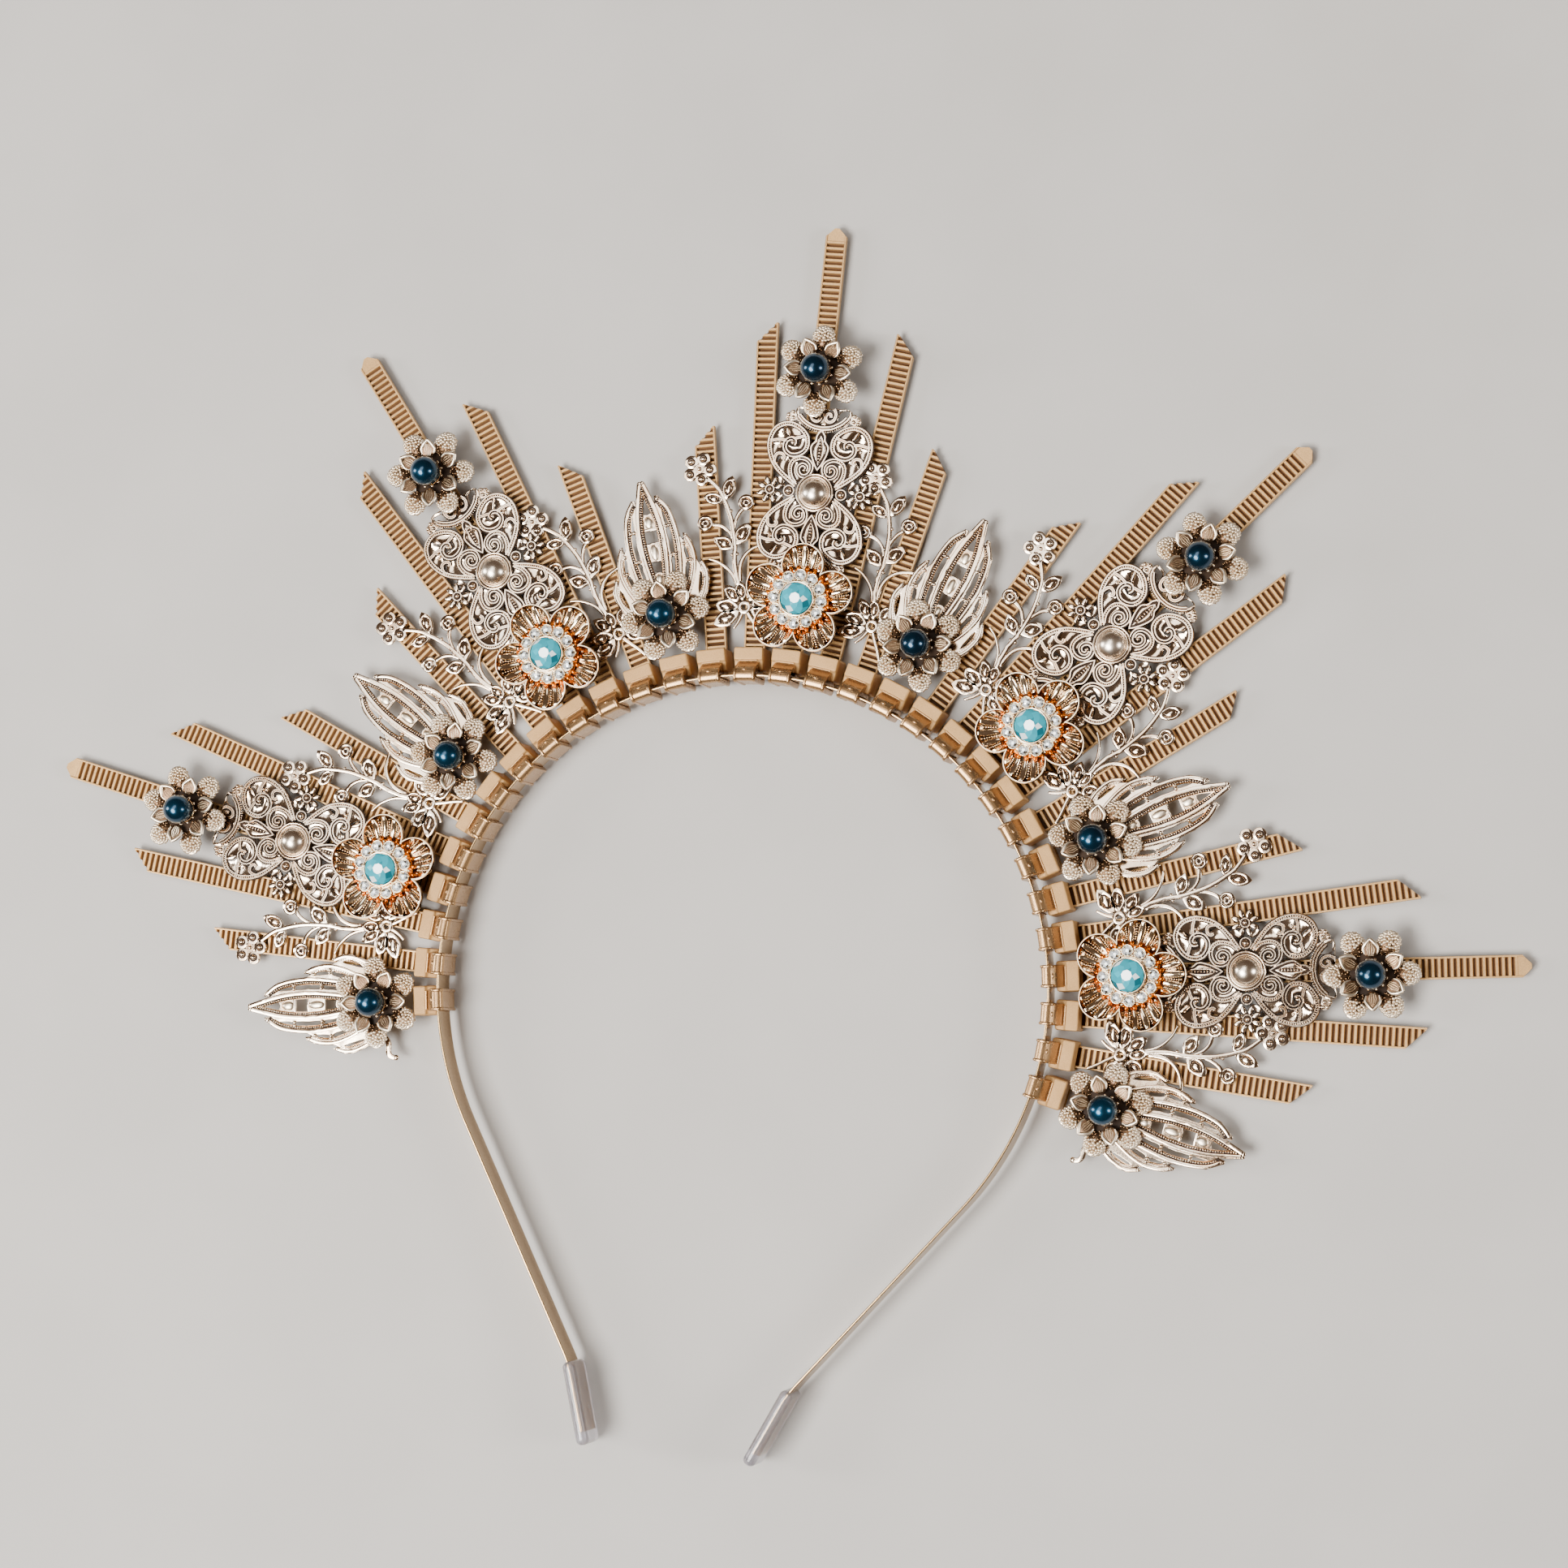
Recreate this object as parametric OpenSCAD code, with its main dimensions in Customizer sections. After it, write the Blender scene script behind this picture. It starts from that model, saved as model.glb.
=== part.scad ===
// Halo crown: a metal headband with cable ties looped round it. Most ties keep their toothed tails
// as rays. Pierced panels, leaves, sprays, stone flowers and pearl flowers lie on the rays.
// The crown lies on its back: front face +Z, top ray +Y, the heads' rear faces on Z = 0.

/* [Crown plan] */
// Radius of the headband's arc, at the middle of the strip (mm)
arc_r = 62.8; // [58:0.1:68]
// Angle between one tie and the next (degrees)
tie_step = 6.67; // [6.4:0.01:7.0]
// Angle between one ray group and the next (degrees)
ray_step = 40; // [36:0.5:42]

/* [Headband] */
// Width of the strip, front to back (mm)
band_w = 7; // [5:0.1:9]
// Thickness of the strip (mm)
band_t = 0.5; // [0.4:0.05:1]
// Height of the strip's rear edge above the floor (mm)
band_z = 2.6; // [2:0.1:4]
// Lean of the left leg toward the middle, where the arc ends (degrees)
left_lean = 32.8; // [26:0.1:40]
// Lean of the right leg toward the middle (degrees)
right_lean = 35.5; // [26:0.1:40]
// Length of the left leg (mm)
left_l = 54; // [40:0.5:70]
// Length of the right leg (mm)
right_l = 51; // [40:0.5:70]
// Outward bend of the band's ends (degrees)
end_bend = 13.4; // [0:0.1:25]
// Length of a bent end (mm)
end_l = 13.4; // [10:0.1:20]
// Length of a clear end sleeve (mm)
sleeve_l = 16; // [10:0.5:22]

/* [Cable ties] */
// Width of the strap (mm)
strap_w = 4.4; // [3.6:0.1:5]
// Thickness of the strap (mm)
strap_t = 1.1; // [0.9:0.05:1.4]
// Width of the head along the band (mm)
head_w = 6; // [5:0.1:7]
// Radius that the heads' outer ends reach (mm)
head_r = 68.7; // [67:0.1:70]
// Depth of the head, back to front (mm)
head_d = 7.4; // [6:0.1:9]
// Distance between two teeth (mm)
tooth_p = 1.22; // [1:0.01:2]
// Radius reached by the long middle ray (mm)
ray_long = 155.5; // [140:0.5:170]
// Radius reached by the rays beside it (mm)
ray_mid = 135.7; // [120:0.5:150]
// Radius reached by the outer rays (mm)
ray_short = 115; // [100:0.5:130]
// Lean of the outer ray toward the middle one (degrees)
ray_lean = 1.9; // [0:0.1:4]

/* [Ornaments] */
// Radius of the panels' domes (mm)
dome_r = 101; // [98:0.5:104]
// Radius of the pearls at the panels' tips (mm)
tip_pearl_r = 125.4; // [122:0.1:128]
// Radius of the pearls on the leaves (mm)
leaf_pearl_r = 77.3; // [76:0.1:80]
// Radius of the stone flowers (mm)
stone_r = 78.7; // [77:0.1:81]
// Pearl diameter (mm)
pearl_d = 6; // [5:0.1:7]
// Blue stone diameter (mm)
blue_d = 6.4; // [5:0.1:7]
// Small clear stone diameter (mm)
clear_d = 1.64; // [1.4:0.02:2]
// Rear face of the sprays (mm)
spray_z = 2.65; // [2.6:0.05:3]
// Rear face of the panels and leaves (mm)
plate_z = 3.65; // [3.6:0.05:4]
// Rear face of the flowers (mm)
flower_z = 5.0; // [5:0.05:6]

/* [Hidden] */
$fn = 48;
slot_z = 1.3;
loop_gap = 0.12;
plate_t = 0.7;
rib_t = 0.45;
pearl_z = flower_z + 5.1;
stone_z = flower_z + 4.0;
gold = [0.80, 0.64, 0.40];
pale = [0.86, 0.80, 0.68];
dark = [0.05, 0.08, 0.11];
aqua = [0.25, 0.62, 0.70];
clear_c = [0.88, 0.92, 0.94];
milky = [0.80, 0.78, 0.80];

// ends of a straight leg that leans by a, and of its bent end, on the right side
function leg_start(a) = arc_r * [cos(a), -sin(a)];
function leg_end(a, l) = leg_start(a) - l * [sin(a), cos(a)];
function band_end(a, l) = leg_end(a, l) - end_l * [sin(a - end_bend), cos(a - end_bend)];

// the lowest point is the left sleeve's closed end
sleeve_tip = [1, 2.2];
left_turn = left_lean - end_bend;
y_low = band_end(left_lean, left_l)[1] - sleeve_tip[0] * sin(left_turn) - sleeve_tip[1] * cos(left_turn);
y_mid = (ray_long + y_low) / 2;

// how far each ray group's pieces sit beside the even spacing, clockwise (mm)
// columns: stone flower, panel, pearl flower, tip of the long ray
sway = [[0.1, -0.5, -1.5, -0.6],
    [2.2, 0.5, 0.0, 0.0],
    [1.4, 0.5, -1.6, -2.9],
    [1.8, -0.2, -0.2, -2.2],
    [0.5, 0.3, 2.0, 1.3]];

// Curves: all of them give lists of plane points.

// a smooth path through a few points, k steps for each span
function spline(p, k) = let (n = len(p))
    concat([for (i = [0:n - 2], j = [0:k - 1]) let (t = j / k,
        a = p[max(i - 1, 0)], b = p[i], c = p[i + 1], d = p[min(i + 2, n - 1)])
        0.5 * (2 * b + (c - a) * t + (2 * a - 5 * b + 4 * c - d) * t * t
            + (3 * b - a - 3 * c + d) * t * t * t)], [p[n - 1]]);

function side(p, i) = let (n = len(p), d = p[min(i + 1, n - 1)] - p[max(i - 1, 0)])
    [-d[1], d[0]] / norm(d);

// a closed band of width w0 to w1 along a path
function ribbon(p, w0, w1) = let (n = len(p))
    concat([for (i = [0:n - 1]) p[i] + side(p, i) * (w0 + (w1 - w0) * i / (n - 1)) / 2],
        [for (i = [n - 1:-1:0]) p[i] - side(p, i) * (w0 + (w1 - w0) * i / (n - 1)) / 2]);

// a pointed leaf from the origin along +Y
function blade(l, w, n) = concat(
    [for (i = [0:n]) [w / 2 * pow(sin(180 * i / n), 0.8), l * i / n]],
    [for (i = [n - 1:-1:1]) [-w / 2 * pow(sin(180 * i / n), 0.8), l * i / n]]);

// the angle of ray k (1 to 5) and of leaf k (1 to 6), clockwise from the top
function ray_a(k) = ray_step * (k - 3);
function leaf_a(k) = ray_step * (k - 3.5);

// local frame on the crown: +Y outward at angle a, radius r
module at(a, r = 0, z = 0) rotate([0, 0, -a]) translate([0, r, z]) children();

// every node is drawn inside this
module crown() translate([0, -y_mid, 0]) children();

module slab(p, z, h) translate([0, 0, z]) linear_extrude(h) polygon(p);

module both() { children(); mirror([1, 0, 0]) children(); }

// a plane outline set across the tie: first value outward, second value up
module across(p, w) rotate([90, 0, 90]) translate([0, 0, -w / 2]) linear_extrude(w) polygon(p);

// Headband and sleeves

// the legs are thicker than the arc by a hair all round, and the arc ends inside them
leg_extra = 0.02;

module strip_leg(a, l) {
    p = leg_start(a);
    translate([p[0], p[1], band_z]) rotate([0, 0, 180 - a])
        translate([-band_t / 2 - leg_extra, -0.4, -leg_extra])
            cube([band_t + 2 * leg_extra, l + 0.42, band_w + 2 * leg_extra]);
    q = leg_end(a, l);
    translate([q[0], q[1], band_z]) rotate([0, 0, 180 - a + end_bend])
        translate([-band_t / 2, -0.03, 0]) cube([band_t, end_l, band_w]);
}

module headband() color(gold) crown() {
    translate([0, 0, band_z]) rotate([0, 0, -right_lean])
        rotate_extrude(angle = 180 + left_lean + right_lean, $fn = 300)
            translate([arc_r - band_t / 2, 0]) square([band_t, band_w]);
    strip_leg(right_lean, right_l);
    mirror([1, 0, 0]) strip_leg(left_lean, left_l);
}

function sleeve_outline(w, d, c) = [[-w / 2, -d / 2 + c], [-w / 2 + c, -d / 2], [w / 2 - c, -d / 2],
    [w / 2, -d / 2 + c], [w / 2, d / 2 - c], [w / 2 - c, d / 2], [-w / 2 + c, d / 2], [-w / 2, d / 2 - c]];

module sleeve(a, l) let (p = band_end(a, l)) translate([p[0], p[1], band_z + band_w / 2])
    rotate([0, 0, 180 - a + end_bend]) rotate([-90, 0, 0]) difference() {
        union() {
            translate([0, 0, sleeve_tip[1] - 0.8 - sleeve_l + 1]) linear_extrude(sleeve_l - 1)
                polygon(sleeve_outline(2.7, 9, 0.8));
            translate([0, 0, sleeve_tip[1] - 0.9]) linear_extrude(0.9)
                polygon(sleeve_outline(2 * sleeve_tip[0], 8, 0.7));
        }
        translate([-band_t / 2 - 0.12, -band_w / 2 - 0.12, -20])
            cube([band_t + 0.24, band_w + 0.24, 20 + 0.12]);
    }

module end_sleeve_right() color(milky) crown() sleeve(right_lean, right_l);
module end_sleeve_left() color(milky) crown() mirror([1, 0, 0]) sleeve(left_lean, left_l);

// Cable ties, in the local frame of one tie

function round_box(x0, y0, x1, y1, c) = [[x0, y0 + c], [x0 + c, y0], [x1 - c, y0], [x1, y0 + c],
    [x1, y1 - c], [x1 - c, y1], [x0 + c, y1], [x0, y1 - c]];

module strap_loop() {
    in_0 = arc_r - band_t / 2 - loop_gap;
    in_1 = arc_r + band_t / 2 + loop_gap;
    z_0 = band_z - loop_gap;
    z_1 = band_z + band_w + loop_gap;
    difference() {
        union() {
            across(round_box(in_0 - strap_t + 0.2, z_0 - strap_t + 0.2, in_1 + strap_t - 0.2,
                z_1 + strap_t - 0.2, 0.9), strap_w);
            for (s = [-1, 1]) translate([s * (strap_w - 0.6) / 2, 0, 0])
                across(round_box(in_0 - strap_t, z_0 - strap_t, in_1 + strap_t, z_1 + strap_t, 1.1), 0.6);
        }
        across([[in_0, z_0], [in_1, z_0], [in_1, z_1], [in_0, z_1]], strap_w + 2);
    }
}

module tie_head() {
    r_0 = arc_r + band_t / 2 + loop_gap + strap_t - 0.3;
    intersection() {
        union() {
            across([[r_0, 0], [head_r - 0.3, 0], [head_r, 0.3], [head_r, head_d - 0.4],
                [head_r - 0.4, head_d], [r_0 + 2.2, head_d], [r_0 + 1.9, head_d - 0.5],
                [r_0, head_d - 0.9]], head_w);
            across([[r_0 - 0.9, band_z + band_w - 1.2], [r_0, head_d - 1], [r_0 + 1.8, head_d - 1],
                [r_0 + 1.3, head_d + 0.5], [r_0 + 0.3, head_d + 2.1], [r_0 - 0.6, head_d + 3.2]], strap_w);
        }
        linear_extrude(20) polygon([[-head_w / 2, r_0 - 2], [head_w / 2, r_0 - 2],
            [head_w / 2, head_r - 0.6], [head_w / 2 - 0.6, head_r], [0.6 - head_w / 2, head_r],
            [-head_w / 2, head_r - 0.6]]);
    }
}

// the tail's tip in plan: cut = -1 or 1 puts the point on that side, 0 makes a blunt middle tip
function tail_plan(r_0, r_1, cut) = let (w = strap_w / 2, c = strap_w * 1.15)
    cut == 0 ? [[-w, r_0], [w, r_0], [w, r_1 - 2.7], [0.9, r_1], [-0.9, r_1], [-w, r_1 - 3.2]]
    : cut > 0 ? [[-w, r_0], [w, r_0], [w, r_1], [w - 0.5, r_1], [-w, r_1 - c]]
    : [[-w, r_0], [w, r_0], [w, r_1 - c], [0.5 - w, r_1], [-w, r_1]];

module tail(r_1, cut) {
    r_0 = head_r - 1.6;
    z_floor = slot_z + 0.55;
    z_top = slot_z + strap_t + 0.1;
    n = floor((r_1 - head_r - 1) / tooth_p);
    teeth = [for (i = [0:n - 1]) each [[head_r + 1 + i * tooth_p, z_floor],
        [head_r + 1 + i * tooth_p + 0.4, z_top - 0.12]]];
    intersection() {
        union() {
            across(concat([[r_0, slot_z], [r_0, z_floor]], teeth,
                [[r_1 + 1, z_floor], [r_1 + 1, slot_z]]), strap_w - 0.8);
            for (s = [-1, 1]) translate([s * (strap_w - 0.55) / 2, 0, 0])
                across([[r_0, slot_z], [r_0, z_top], [r_1 + 1, z_top], [r_1 + 1, slot_z]], 0.55);
        }
        linear_extrude(20) polygon(tail_plan(r_0 - 1, r_1, cut));
    }
}

// a tie with a tail to radius r_1, or a trimmed one when r_1 is 0
module tie(r_1, cut, lean) {
    strap_loop();
    difference() {
        tie_head();
        translate([-strap_w / 2 - 0.35, head_r - 0.9, slot_z - 0.35])
            cube([strap_w + 0.7, 2, strap_t + 0.9]);
    }
    if (r_1 > 0) translate([0, head_r - 2, 0]) rotate([0, 0, lean]) translate([0, 2 - head_r, 0])
        tail(r_1, cut);
    else across([[head_r - 1.6, slot_z], [head_r - 0.2, slot_z],
        [head_r - 0.2, slot_z + strap_t], [head_r - 1.6, slot_z + strap_t]], strap_w);
}

module ray_ties(k) color(gold) crown() {
    reach = [ray_short, ray_mid, ray_long, ray_mid, ray_short];
    long_lean = -asin(sway[k - 1][3] / (ray_long - head_r));
    for (i = [-2:2]) at(ray_a(k) + i * tie_step)
        tie(reach[i + 2], -sign(i), i == 0 ? long_lean : i * ray_lean / 2);
}

module trimmed_ties() color(gold) crown()
    for (k = [1:6]) at(leaf_a(k)) tie(0, 0, 0);

// Filigree panel, in the local frame of its dome

lobe = spline([[7.7, 2.7], [9.2, 4.6], [10.4, 6.8], [10.75, 9.4], [10.0, 12.0], [8.2, 13.8],
    [6.0, 14.2], [4.3, 13.9]], 2);
panel_quarter = concat([[8.5, 0], [8.6, 1.2]], lobe,
    [[5.2, 15.2], [5.9, 16.7], [6.3, 18.3], [5.7, 18.5], [5.1, 17.4], [2.6, 16.9], [0, 17.2]]);
lobe_holes = [
    [[8.1, 12.3], [9.3, 10.7], [9.8, 9.0], [9.5, 7.3], [8.4, 5.9], [7.9, 7.2], [8.3, 8.9], [8.1, 10.6]],
    [[5.7, 2.8], [7.1, 3.8], [7.7, 5.0], [7.3, 6.3], [6.6, 6.6], [6.3, 5.1], [5.8, 3.9]],
    [[3.1, 14.4], [4.4, 15.1], [5.0, 16.7], [4.0, 16.5], [3.3, 15.5]]];

// part of a flat ring: radii r_0 to r_1, from angle a_0 to a_1
module arc_band(r_0, r_1, a_0, a_1, h) linear_extrude(h) difference() {
    intersection() {
        circle(r_1);
        polygon(concat([[0, 0]], [for (i = [0:4]) let (a = a_0 + (a_1 - a_0) * i / 4)
            2 * r_1 * [cos(a), sin(a)]]));
    }
    circle(r_0);
}

module quarters() { both() children(); mirror([0, 1, 0]) both() children(); }

module bead(x, y, z, r) translate([x, y, z]) sphere(r);

module daisy(z) {
    translate([0, 0, z - 0.3]) cylinder(h = 0.5, r = 1.1);
    for (i = [0:7]) rotate([0, 0, 22.5 + 45 * i]) translate([0, 0.7, 0])
        slab([[0, 0], [0.42, 1.1], [0, 2.1], [-0.42, 1.1]], plate_z, plate_t + rib_t * 0.7);
    bead(0, 0, z + 0.1, 0.5);
}

module panel() {
    z = plate_z + plate_t;
    difference() {
        union() {
            for (s = [1, -1]) scale([1, s, 1]) slab(concat(panel_quarter,
                [for (i = [len(panel_quarter) - 2:-1:0]) [-panel_quarter[i][0], panel_quarter[i][1]]]),
                plate_z, plate_t);
        }
        quarters() {
            for (h = lobe_holes) slab(h, plate_z - 1, 3);
            translate([5.1, 10.6, plate_z - 1]) arc_band(1.3, 2.2, 150, 315, 3);
        }
    }
    quarters() {
        translate([5.7, 9.1, z - 0.1]) arc_band(4.15, 4.65, -47, 130, rib_t + 0.1);
        slab(ribbon([[4.0, 1.5], [6.4, 3.0], [8.9, 5.7]], 0.5, 0.5), z - 0.1, rib_t + 0.1);
        slab(ribbon(spline([[4.9, 2.4], [5.3, 4.6], [4.6, 6.4], [3.0, 7.0], [1.6, 6.2]], 2), 0.45, 0.45),
            z - 0.1, rib_t);
        translate([5.1, 10.6, z - 0.1]) difference() {
            cylinder(h = rib_t + 0.1, r = 2.85);
            translate([0, 0, -1]) cylinder(h = 3, r = 2.4);
        }
        bead(5.1, 10.6, z, 0.75);
        translate([2.6, 4.9, z - 0.1]) difference() {
            cylinder(h = rib_t, r = 1.4);
            translate([0, 0, -1]) cylinder(h = 3, r = 0.9);
        }
        bead(7.0, 15.3, z - 0.2, 0.55);
        bead(6.3, 14.6, z - 0.2, 0.55);
    }
    for (s = [1, -1]) scale([1, s, 1]) {
        slab([for (q = blade(8.2, 3.2, 8)) [q[0], q[1] + 4.6]], z - 0.1, rib_t + 0.05);
        slab(ribbon(spline([[-6.0, 18.1], [-5.2, 15.7], [-3.4, 13.9], [0, 13.2], [3.4, 13.9],
            [5.2, 15.7], [6.0, 18.1]], 2), 0.5, 0.5), z - 0.1, rib_t);
    }
    both() {
        bead(5.5, 0, z, 0.75);
        translate([9.45, 0, 0]) daisy(z);
    }
    translate([0, 0, z - 0.1]) cylinder(h = 0.6, r = 3.85);
    translate([0, 0, z - 0.4]) intersection() {
        translate([0, 0, 0.2]) sphere(2.95);
        cylinder(h = 4, r = 4);
    }
}

// the panel turns to face its pearl
module filigree(k) color(pale) crown() at(ray_a(k), dome_r) translate([sway[k - 1][1], 0, 0])
    rotate([0, 0, -(sway[k - 1][2] - sway[k - 1][1]) * 0.6]) panel();

// Leaf, in the local frame of its pearl

leaf_half = [[0, -2.6], [5.5, -1.6], [7.8, 0.6], [9.4, 3.2], [10.2, 5.6], [10.3, 7.6], [9.8, 9.2],
    [9.0, 10.4], [8.5, 9.6], [8.5, 11.4], [8.2, 13.6], [7.4, 15.6], [6.6, 16.8], [6.0, 15.6],
    [5.9, 17.2], [5.4, 19.8], [4.5, 22.4], [3.2, 24.6], [2.2, 26.0], [1.35, 25.3], [0.9, 26.2], [0, 28.3]];

module leaf_shape() {
    z = plate_z + plate_t;
    difference() {
        slab(concat(leaf_half, [for (i = [len(leaf_half) - 2:-1:1]) [-leaf_half[i][0], leaf_half[i][1]]]),
            plate_z, plate_t);
        slab([[0, 23.4], [-0.9, 21.6], [-1.1, 20.7], [1.1, 20.7], [0.9, 21.6]], plate_z - 1, 3);
        both() {
            slab([[2.55, 21.2], [3.6, 20.0], [4.3, 17.2], [4.45, 15.0], [3.2, 15.0], [3.05, 18.0]],
                plate_z - 1, 3);
            slab([[3.2, 13.9], [4.45, 13.9], [4.3, 11.5], [3.9, 9.0], [3.0, 9.0], [3.2, 11.5]],
                plate_z - 1, 3);
        }
    }
    both() {
        slab(ribbon(spline([[0.35, 27.0], [1.7, 22.9], [2.5, 18.6], [2.75, 14.2], [2.4, 9.4], [1.4, 4.0]], 2),
            0.7, 0.6), z - 0.1, rib_t + 0.1);
        slab(ribbon(spline([[2.2, 25.4], [3.9, 22.6], [5.1, 18.6], [5.5, 14.4], [5.1, 9.0], [4.2, 4.4]], 2),
            0.6, 0.6), z - 0.1, rib_t);
        slab(ribbon(spline([[6.6, 16.1], [7.8, 13.2], [8.0, 9.6], [7.2, 5.6], [5.6, 2.2]], 2), 0.6, 0.6),
            z - 0.1, rib_t);
        slab(ribbon(spline([[8.95, 9.8], [9.7, 7.0], [9.1, 3.6], [7.2, 0.7]], 2), 0.6, 0.6),
            z - 0.1, rib_t);
    }
    bead(0, 19.2, z - 0.35, 0.95);
    bead(0, 14.3, z - 0.2, 0.8);
    bead(0, 13.2, z - 0.2, 0.8);
    bead(0, 8.6, z - 0.2, 0.8);
}

module leaf(k) color(pale) crown() at(leaf_a(k), leaf_pearl_r) leaf_shape();

// Spray, in the local frame of its hub; the same hand every time

spray_t = 0.8;
stem = spline([[0, 1], [-0.4, 5.4], [-1.5, 9.8], [-1.6, 14.2], [-2.1, 18.2], [-3.3, 22.4],
    [-4.9, 25.4], [-6.9, 27.6]], 2);
tendrils = [[[-0.9, 1.9], [-2.5, 5.4], [-3.4, 7.9], [-5.2, 9.8], [-7.5, 10.6]],
    [[0.1, 3.6], [0.1, 6.8], [1.2, 9.6], [3.4, 11.6], [5.8, 12.1]],
    [[-6.2, 17.7], [-4.2, 16.9], [-2.6, 15.4], [-1.6, 13.2]],
    [[0.6, 20.3], [-0.8, 18.8], [-1.6, 16.8], [-1.7, 15.0]]];
// foot x, foot y, tip x, tip y, width
blades = [[-3.1, 21.8, -7.6, 23.2, 1.7], [-3.1, 21.8, -1.7, 27.3, 2.0], [-1.5, 12.5, -5.6, 14.2, 2.1],
    [-1.5, 12.5, 2.1, 16.9, 2.3], [0, 0.9, -0.8, 5.7, 1.7], [-0.8, 0.7, -4.2, 5.0, 1.8],
    [0.8, 0.7, 3.3, 5.2, 1.8], [-0.9, 0.2, -6.7, 0.7, 2.3], [0.9, 0.2, 6.2, 1.2, 2.3],
    [-0.8, -0.5, -6.4, -3.3, 2.5], [0.8, -0.5, 5.8, -2.9, 2.5]];

module spray() {
    translate([0, 0, spray_z]) {
        difference() {
            union() {
                cylinder(h = spray_t, r = 1.45);
                slab([[-0.5, 0], [0.5, 0], [1.9, -5.5], [0.7, -6.2], [-0.6, -5.7]], 0, spray_t);
                for (b = blades) let (d = [b[2] - b[0], b[3] - b[1]])
                    translate([b[0], b[1], 0]) rotate([0, 0, atan2(d[1], d[0]) - 90])
                        slab(blade(norm(d), b[4], 6), 0, spray_t);
                for (t = tendrils) slab(ribbon(spline(t, 2), 0.7, 0.7), 0, spray_t - 0.1);
            }
            translate([0, 0, -1]) cylinder(h = 3, r = 0.6);
        }
        slab(ribbon(stem, 0.95, 0.7), 0, spray_t + 0.05);
        for (b = [[-7.4, 18.0], [1.6, 21.3]]) translate([b[0], b[1], 0]) cylinder(h = spray_t, r = 1.5);
        translate([-8.3, 28.9, 0]) {
            for (i = [0:4]) rotate([0, 0, 72 * i - 25]) translate([0, 2.25, 0])
                cylinder(h = spray_t, r = 1.2);
            cylinder(h = spray_t, r = 1.6);
        }
    }
}

module spray_pair(k) color(pale) crown()
    for (s = [-1, 1]) at(ray_a(k) + s * ray_step / 4) translate([2.4, 77.2, 0]) spray();

// Stone flower: five cupped petals and a set cluster on top, in the local frame of its centre

petal_r = 4.4;
petal_o = 7.0;
petal_z = flower_z + 4.3;

module petals(r) for (i = [0:4]) rotate([0, 0, 72 * i]) translate([0, petal_o, petal_z]) sphere(r);

module stone_flower_shape() {
    difference() {
        intersection() {
            petals(petal_r);
            translate([0, 0, flower_z]) cylinder(h = 4.9, r = 14);
        }
        intersection() {
            petals(petal_r - 0.5);
            translate([0, 0, flower_z + 0.6]) cylinder(h = 9, r = 14);
        }
        translate([0, 0, stone_z - 0.2]) cylinder(h = 5, r = 6.05);
    }
    for (i = [0:4], j = [-1:1]) rotate([0, 0, 72 * i + 13 * j])
        translate([-0.25, 3, flower_z + 0.3]) cube([0.5, 4.6 - abs(j) * 0.4, 0.9]);
    translate([0, 0, flower_z]) cylinder(h = 4.2, r = 3.4);
    difference() {
        union() {
            translate([0, 0, stone_z]) cylinder(h = 0.5, r = 5.3);
            translate([0, 0, stone_z]) cylinder(h = 2.3, r = blue_d / 2 + 0.5);
            for (i = [0:11]) rotate([0, 0, 30 * i]) translate([0, 4.9, stone_z - 0.1])
                cylinder(h = 1.5, r = clear_d / 2 + 0.25);
        }
        translate([0, 0, stone_z + 0.5]) cylinder(h = 3, r = blue_d / 2 + 0.12);
        for (i = [0:11]) rotate([0, 0, 30 * i]) translate([0, 4.9, stone_z + 0.5])
            cylinder(h = 3, r = clear_d / 2 + 0.11);
    }
}

module at_stone(k, z = 0) crown() at(ray_a(k), stone_r, z) translate([sway[k - 1][0], 0, 0]) children();

module stone_flower(k) color(gold) at_stone(k) stone_flower_shape();

// Cut stones: a table, crown facets, a thin girdle and a pavilion

// eight slopes between two widths, z_0 to z_1
module cut_slopes(w_0, w_1, z_0, z_1) intersection_for (i = [0:3]) rotate([0, 0, 45 * i])
    across([[-w_0 / 2, z_0], [w_0 / 2, z_0], [w_1 / 2, z_1], [-w_1 / 2, z_1]], 3 * max(w_0, w_1));

module cut_stone(d, table) intersection() {
    cut_slopes(d * 1.5, table * 0.95, -0.26 * d, 0.19 * d);
    rotate([0, 0, 22.5]) cut_slopes(d * 1.06, table * 1.02, 0, 0.19 * d);
}

module blue_stone(k) color(aqua) at_stone(k, stone_z + 2.3)
    cut_stone(blue_d, blue_d * 0.5);

module clear_stones() color(clear_c) for (k = [1:5]) at_stone(k, stone_z + 0.75)
    for (i = [0:11]) rotate([0, 0, 30 * i]) translate([0, 4.9, 0])
        cut_slopes(clear_d * 0.92, clear_d * 0.5, 0, 0.72);

// Pearl flower and pearl: the first five at the panels' tips, the other six on the leaves

module at_pearl(k, z = 0) crown() if (k <= 5) at(ray_a(k), tip_pearl_r, z)
        translate([sway[k - 1][2], 0, 0]) children();
    else at(leaf_a(k - 5), leaf_pearl_r, z) children();

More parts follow.
